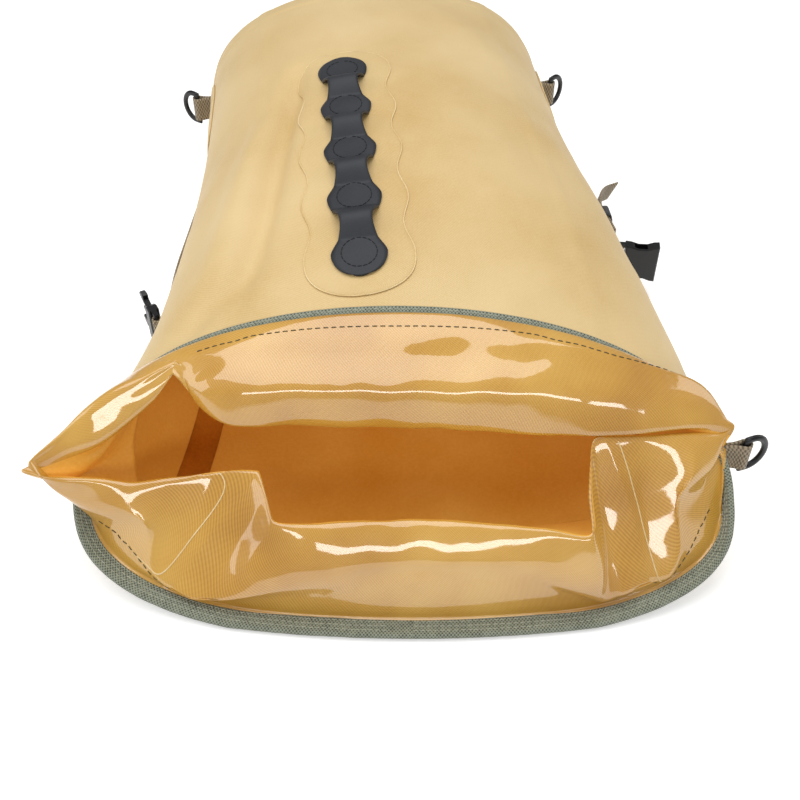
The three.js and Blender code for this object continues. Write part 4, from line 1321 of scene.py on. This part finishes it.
# ---------------------------------------------------------------- webbing and hardware
@dataclass
class Straps:
    """The two closure straps with their patches and sewn ends, and the tabs of the D-rings."""

    finishes: Finishes
    width: float = 25.0
    thickness: float = 1.5
    height: float = 32.0  # middle of the webbing
    anchor_y: float = 185.0
    sewn: float = 46.0
    patch_size: tuple[float, float] = (94.0, 88.0)
    patch_height: float = 60.0
    bar_radius: float = 1.8
    eye_clearance: float = 0.4
    eye_turn: float = 340.0  # degrees
    right_out: float = 28.0  # how far the straps stand from the sides at their buckles
    left_out: float = 22.0

    @property
    def anchor_lift(self) -> float:
        """Height of the sewn ends' faces over the shell."""
        return 2.05 + self.thickness

    def reach(self, y: float) -> float:
        """How far out the shell's side is over the webbing's width, at y."""
        return float(FORM.surface(*FORM.on_side(1, y, self.height + self.width / 2))[0])

    def on_side(self, side: int, height: float, size: tuple[float, float], lift: float, power: float,
                counts: tuple[int, int] = (25, 21)) -> np.ndarray:
        """A grid laid on a side panel, with corners as square as the power is high."""
        rows = []
        for t in crowded(counts[0]):
            half = size[1] / 2 * max(1 - abs(t) ** power, 0.004) ** (1 / power)
            row = []
            for u in crowded(counts[1]):
                fallen = 0.8 * (1 - min(cushion_edge(abs(u)), cushion_edge(abs(t))))
                phi, s = FORM.on_side(side, self.anchor_y + t * size[0] / 2, height + u * half)
                row.append(relaxed(phi, s, lift - fallen))
            rows.append(row)
        return np.array(rows)

    def ribbon(self, name: str, points: list[tuple[float, float]], side: int, width: float,
               twist: tuple[float, float] = (0.0, 0.0)) -> bpy.types.Object:
        """Webbing that stands on its edge along a plan line.

        Args:
            name: the piece's name.
            points: the line in plan on the right side; the left side is its mirror.
            side: 1 on the right and -1 on the left.
            width: of the webbing.
            twist: degrees that it leans out at its start and its end.
        Returns:
            The object.
        """
        line = through(np.array([(x, y, 0.0) for x, y in points]), 70)
        ahead = np.gradient(line, axis=0)
        normal = unit(np.stack([ahead[:, 1], -ahead[:, 0], np.zeros(len(line))], axis=1))
        face = [(1, 0.0), (0.985, 0.34), (0.94, 0.5), (0.5, 0.5), (0.0, 0.5), (-0.5, 0.5), (-0.94, 0.5),
                (-0.985, 0.34)]
        section = face + [(-u, -v) for u, v in face]
        rows = []
        for k, (p, n) in enumerate(zip(line, normal)):
            lean = math.radians(mix(*twist, float(smooth_step(k / (len(line) - 1)))))
            up = np.array([0, 0, math.cos(lean)]) + n * math.sin(lean)
            out = n * math.cos(lean) - np.array([0, 0, math.sin(lean)])
            rows.append([(p + up * u * width / 2 + out * v * self.thickness) * np.array([side, 1, 1])
                         + np.array([0, 0, self.height]) for u, v in section])
        count = len(section)
        travelled = running(step_lengths(line)) * MM
        heights = [u * width / 2 * MM for u, _ in section]
        loops = []
        for near, far in zip(travelled, travelled[1:]):
            for a, b in zip(heights, heights[1:] + heights[:1]):
                loops += [(near, a), (near, b), (far, b), (far, a)]
        faces = quads(len(line), count, True)
        faces.append(tuple(reversed(range(count))))
        faces.append(tuple((len(line) - 1) * count + j for j in range(count)))
        for end in (travelled[0], travelled[-1]):
            loops += [(end, height) for height in heights]
        return mesh_piece(name, np.array(rows).reshape(-1, 3), faces, self.finishes.webbing, loops)

    def eye_points(self, bar: tuple[float, float], start: float) -> list[tuple[float, float]]:
        """Plan points of the webbing's eye round a buckle's bar, from an angle in degrees."""
        around = self.bar_radius + self.eye_clearance + self.thickness / 2
        return [(bar[0] + around * math.cos(a), bar[1] + around * math.sin(a))
                for a in np.radians(np.linspace(start, start + self.eye_turn, 9))]

    def build(self) -> list[bpy.types.Object]:
        """Patches, sewn ends, straps and the loose end, each on its own body."""
        made = []
        for side, word in ((1, "right"), (-1, "left")):
            patch = grid_piece(word + "_side_patch_welded",
                               self.on_side(side, self.patch_height, self.patch_size, 1.55, 4),
                               self.finishes.shell, thickness=0.8, turned=side > 0)
            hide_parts(word + "_side_patch")
            sewn = self.on_side(side, self.height, (self.sewn, self.width), self.anchor_lift, 40, (25, 9))
            anchor = grid_piece(word + "_strap_sewn_end", sewn, self.finishes.webbing,
                                thickness=self.thickness, turned=side > 0)
            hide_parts(word + "_strap_anchor")
            for piece in (patch, anchor, self.box_stitches(side, word)):
                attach(piece, "bag")
                made.append(piece)
        hinge_y = self.anchor_y - self.sewn / 2 - 0.35
        hinge_x = self.reach(hinge_y) + self.anchor_lift
        made += self.right_side(hinge_x, hinge_y)
        made += self.left_side(hinge_x, hinge_y)
        return made

    def right_side(self, hinge_x: float, hinge_y: float) -> list[bpy.types.Object]:
        """The right strap, the webbing that comes back from its buckle, and the loose end."""
        bar = (self.reach(42) + self.right_out, 42.0)
        eye = self.eye_points(bar, 105)
        strap = self.ribbon("right_strap_webbing", [
            (hinge_x, hinge_y), (hinge_x + 12, 142), (self.reach(112) + self.right_out - 1, 112),
            (self.reach(80) + self.right_out + 1.5, 80), (bar[0] - 0.2, bar[1] + 7)] + eye, 1, self.width)
        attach(strap, "right_closure")
        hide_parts("right_strap")
        tail_x = self.reach(98) + self.right_out + 4.4
        back = self.ribbon("right_strap_return_webbing", [
            (self.reach(66) + self.right_out + 5.2, 66), (self.reach(80) + self.right_out + 5.3, 80),
            (tail_x, 97.3)], 1, self.width)
        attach(back, "right_closure")
        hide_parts("right_strap_return")
        tail = self.ribbon("right_strap_tail_webbing", [
            (tail_x, 98), (tail_x + 1, 110), (tail_x + 3, 121), (tail_x + 8.5, 130), (tail_x + 19, 136)],
            1, self.width, (0, 24))
        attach(tail, "right_loose_end")
        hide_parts("right_strap_tail")
        return [strap, back, tail, self.keeper()]

    def left_side(self, hinge_x: float, hinge_y: float) -> list[bpy.types.Object]:
        """The left strap, which curls back round its buckle's bar."""
        bar = (self.reach(-12) + self.left_out, -12.0)
        eye = self.eye_points(bar, 255)
        strap = self.ribbon("left_strap_webbing", [
            (hinge_x, hinge_y), (hinge_x + 8, 140), (self.reach(90) + self.left_out - 5, 90),
            (self.reach(40) + self.left_out - 3, 40), (self.reach(8) + self.left_out - 5.5, 8),
            (bar[0] - 10.3, bar[1] - 2), (bar[0] - 6, bar[1] - 10)] + eye, -1, self.width)
        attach(strap, "left_closure")
        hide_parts("left_strap")
        return [strap]

    def keeper(self) -> bpy.types.Object:
        """The elastic loop that holds the tail to the strap."""
        middle = (self.reach(88) + self.right_out + 3.3, 88.0)
        half_x, half_z = 4.6, self.width / 2 + 1.3
        ring = [(half_x * signed_power(math.cos(a), 0.35), half_z * signed_power(math.sin(a), 0.35))
                for a in np.linspace(0, 2 * math.pi, 64, endpoint=False)]

        def swelled(v: float, half: float, grow: float) -> float:
            """A coordinate moved out by the elastic's rounding, where it lies on one of the four faces."""
            return v + math.copysign(grow, v) * (abs(v) > half * 0.98)

        x0, y0 = middle
        rows = [[(x0 + swelled(x, half_x, grow), y0 + y, self.height + swelled(z, half_z, grow))
                 for x, z in ring]
                for y, grow in ((-6, 0.0), (-5.6, 0.5), (-3, 0.6), (0, 0.6), (3, 0.6), (5.6, 0.5), (6, 0.0))]
        keeper = grid_piece("tail_keeper_elastic", np.array(rows), self.finishes.elastic, closed=True,
                            thickness=1.0)
        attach(keeper, "right_closure")
        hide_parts("tail_keeper")
        return keeper

    def box_stitches(self, side: int, word: str) -> bpy.types.Object:
        """A box of stitches with a cross, through the strap's sewn end."""
        lift = self.anchor_lift + 0.15
        half_l, half_w = self.sewn / 2 - 4, self.width / 2 - 3
        lines = [[(-1, -1), (1, -1), (1, 1), (-1, 1), (-1, -1)], [(-1, -1), (1, 1)], [(-1, 1), (1, -1)]]
        threads = []
        for line in lines:
            for (ta, ua), (tb, ub) in zip(line, line[1:]):
                points, out = [], []
                for k in np.linspace(0, 1, 14):
                    phi, s = FORM.on_side(side, self.anchor_y + mix(ta, tb, k) * half_l,
                                          self.height + mix(ua, ub, k) * half_w)
                    points.append(relaxed(phi, s, lift))
                    out.append(FORM.normal(phi, s))
                threads += dashes(np.array(points), 2.8, 1.2, 0.4, np.array(out))
        return merged_tubes(word + "_strap_box_stitches", threads, 0.3, self.finishes.dark_thread)


@dataclass(frozen=True)
class RingPlace:
    """Where one D-ring hangs."""

    name: str
    side: int
    y: float
    z: float
    swing: float  # degrees from straight out
    root: float  # mm off the shell where its tab starts


@dataclass
class DRings:
    """Four D-rings on tabs of doubled webbing."""

    straps: Straps
    tab_width: float = 20.0
    tab_length: float = 14.0
    wire: float = 2.2
    reach: float = 15.0
    places: tuple[RingPlace, ...] = (
        RingPlace("mouth_right", 1, -194, 62, 15, 3.3), RingPlace("mouth_left", -1, -160, 60, 70, 3.3),
        RingPlace("base_right", 1, 236, 70, 40, 0.9), RingPlace("base_left", -1, 236, 70, 40, 0.9))

    def ring_path(self) -> np.ndarray:
        """The middle of the ring's wire: a straight bar up Z and a bow along +X."""
        half = self.tab_width / 2 + self.wire + 0.5
        corner = self.reach * 0.3
        bow = self.reach - corner
        bar = [(0.0, 0.0, z) for z in np.linspace(-half, half, 14)]
        arc = [(corner + bow * math.sin(a), 0.0, half * math.cos(a)) for a in np.linspace(0, math.pi, 44)]
        return np.array(bar + [(corner * 0.5, 0.0, half)] + arc + [(corner * 0.5, 0.0, -half)])

    def build(self) -> list[bpy.types.Object]:
        """Rings and tabs, each ring on its own body."""
        made = []
        for place in self.places:
            phi, s = FORM.on_side(place.side, place.y, place.z)
            x = float(FORM.surface(phi, s)[0]) + place.side * self.tab_length
            angle = math.radians(place.swing if place.side > 0 else 180 - place.swing)
            c, d = math.cos(angle), math.sin(angle)
            turn = np.array([[c, -d, 0], [d, c, 0], [0, 0, 1]])
            path = self.ring_path() @ turn.T + np.array([x, place.y, place.z])
            flat_way = turn @ np.array([0.0, 1.0, 0.0])
            grid = tube_grid(path, self.wire, 14, closed=True, flat=0.86, flat_way=flat_way)
            ring = grid_piece(place.name + "_ring", np.vstack([grid, grid[:1]]), self.straps.finishes.acetal,
                              closed=True)
            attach(ring, place.name + "_ring")
            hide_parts(place.name + "_d_ring")
            made += [ring, self.tab(place, x)]
        return made

    def tab(self, place: RingPlace, x: float) -> bpy.types.Object:
        """A tab of webbing folded round the ring's bar, both ends sewn to the shell."""
        edge = self.wire + self.straps.eye_clearance + self.straps.thickness / 2
        rows = []
        for v in np.linspace(-1, 1, 9):
            z = place.z + v * self.tab_width / 2
            phi, s = FORM.on_side(place.side, place.y, z)
            root = float(FORM.off(phi, s, place.root)[0]) * place.side
            bar = x * place.side
            line = [(root - 0.6, place.y - 0.9), (mix(root, bar, 0.5), place.y - 1.4)]
            line += [(bar + edge * math.cos(a), place.y + edge * math.sin(a))
                     for a in np.radians(np.linspace(-100, 100, 13))]
            line += [(mix(root, bar, 0.5), place.y + 1.4), (root - 0.6, place.y + 0.9)]
            smooth = through(np.array([(px, py, z) for px, py in line]), 60)
            rows.append(smooth * np.array([place.side, 1, 1]))
        tab = grid_piece(place.name + "_tab_webbing", np.array(rows), self.straps.finishes.webbing,
                         thickness=1.3)
        tab.modifiers["cloth"].offset = 0
        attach(tab, "bag")
        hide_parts(place.name + "_tab")
        return tab


@dataclass
class Buckles:
    """The side-release buckle's moulded halves, which keep their frame shape with softened edges."""

    finishes: Finishes
    edge: float = 0.45  # mm radius of a moulded edge
    nodes: tuple[str, ...] = ("female_buckle", "male_buckle", "upper_prong", "lower_prong")

    def dress(self, nodes: dict[str, bpy.types.Object]) -> None:
        """Gives the halves their material and rounds their edges.

        Args:
            nodes: the frame's nodes by name.
        """
        for name in self.nodes:
            piece = nodes[name]
            piece.data.materials.clear()
            piece.data.materials.append(self.finishes.acetal)
            bevel = piece.modifiers.new("moulded_edge", "BEVEL")
            bevel.width = self.edge * MM
            bevel.segments = 2
            bevel.limit_method = "ANGLE"
            bevel.angle_limit = math.radians(35)


# ---------------------------------------------------------------- studio
@dataclass
class Studio:
    """A plain pale floor, soft lamps and the camera."""

    camera_at: Point = (-54.5, -630.3, 566.0)
    pitch: float = 45.0
    yaw: float = 5.0
    lens: float = 49.5
    even_light: float = 0.34
    floor_half: float = 6000.0
    lamps: tuple[tuple[str, Point, Point, float, float, float], ...] = (  # sizes in m, power in watts
        ("overhead", (-100, 60, 1450), (0, -60, 60), 1.6, 1.2, 14.0),
        ("front_strip", (100, -1500, 900), (0, -200, 60), 1.6, 0.2, 6.8),
        ("left_panel", (-1400, -200, 700), (0, -50, 60), 0.9, 0.9, 4.8),
        ("right_panel", (1400, 0, 800), (0, -50, 60), 0.5, 1.0, 3.0),
    )

    def build(self) -> None:
        """Makes the camera, lamps, world and floor."""
        self.camera()
        for name, place, target, width, depth, power in self.lamps:
            data = bpy.data.lights.new(name, "AREA")
            data.shape = "RECTANGLE"
            data.size, data.size_y, data.energy = width, depth, power
            lamp = bpy.data.objects.new(name, data)
            bpy.context.scene.collection.objects.link(lamp)
            lamp.location = Vector(place) * MM
            lamp.rotation_mode = "QUATERNION"
            lamp.rotation_quaternion = ((Vector(target) - Vector(place)) * MM).to_track_quat("-Z", "Y")
        self.world()
        self.floor()
        bpy.context.scene.view_settings.view_transform = "Standard"

    def camera(self) -> None:
        """The camera at the viewing angle."""
        data = bpy.data.cameras.new("camera")
        data.lens, data.sensor_width = self.lens, 36.0
        data.clip_start, data.clip_end = 0.01, 20.0
        camera = bpy.data.objects.new("camera", data)
        bpy.context.scene.collection.objects.link(camera)
        camera.location = Vector(self.camera_at) * MM
        camera.rotation_euler = (math.radians(90 - self.pitch), 0, math.radians(-self.yaw))
        bpy.context.scene.camera = camera

    def world(self) -> None:
        """White to the eye and a mild even light on the object."""
        world = bpy.data.worlds.new("studio")
        nodes = Nodes(world)
        light = nodes.add("ShaderNodeBackground", {"Color": colour("#F4F4F4"), "Strength": self.even_light})
        white = nodes.add("ShaderNodeBackground", {"Color": colour("#FFFFFF"), "Strength": 1.0})
        path = nodes.add("ShaderNodeLightPath").outputs
        both = nodes.add("ShaderNodeMixShader",
                         {0: path["Is Camera Ray"], 1: light.outputs[0], 2: white.outputs[0]})
        nodes.add("ShaderNodeOutputWorld", {"Surface": both.outputs[0]})
        bpy.context.scene.world = world

    def floor(self) -> None:
        """A pale floor that keeps the bag's shadow, a little brighter to the eye and in reflections."""
        corners = np.array([(x * self.floor_half, y * self.floor_half, -0.3)
                            for x, y in ((-1, -1), (1, -1), (1, 1), (-1, 1))])
        material = bpy.data.materials.new("floor")
        nodes = Nodes(material)
        base = nodes.ramp(nodes.noise(3.0, 1.0), (0.3, "#F6F6F6"), (0.7, "#FAFAFA"))
        matt = nodes.add("ShaderNodeBsdfDiffuse", {"Color": base})
        glow = nodes.add("ShaderNodeEmission", {"Color": colour("#FFFFFF"), "Strength": 0.35})
        path = nodes.add("ShaderNodeLightPath").outputs
        direct = nodes.maths("MAXIMUM", path["Is Camera Ray"], path["Is Glossy Ray"])
        direct = nodes.maths("MAXIMUM", direct, path["Is Transmission Ray"])
        seen = nodes.add("ShaderNodeMixShader", {0: direct, 2: glow.outputs[0]})
        both = nodes.add("ShaderNodeAddShader", {0: matt.outputs[0], 1: seen.outputs[0]})
        nodes.add("ShaderNodeOutputMaterial", {"Surface": both.outputs[0]})
        mesh_piece("floor", corners, [(0, 1, 2, 3)], material)


def main() -> None:
    """Builds the bag piece by piece and reports each one."""
    logging.basicConfig(level=logging.INFO, format="%(message)s")
    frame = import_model()
    Studio().build()
    finishes = Finishes()
    made = [BagShell(finishes).build()]
    made += SeamTapes(finishes).build()
    made += LashChain(finishes).build()
    made += MouthBinding(finishes).build()
    made += Collar(finishes).build()
    straps = Straps(finishes)
    made += straps.build()
    made += DRings(straps).build()
    Buckles(finishes).dress(frame["nodes"])
    for piece in made:
        LOG.info("built %s with %d faces", piece.name, len(piece.data.polygons))


if __name__ == "__main__":
    main()
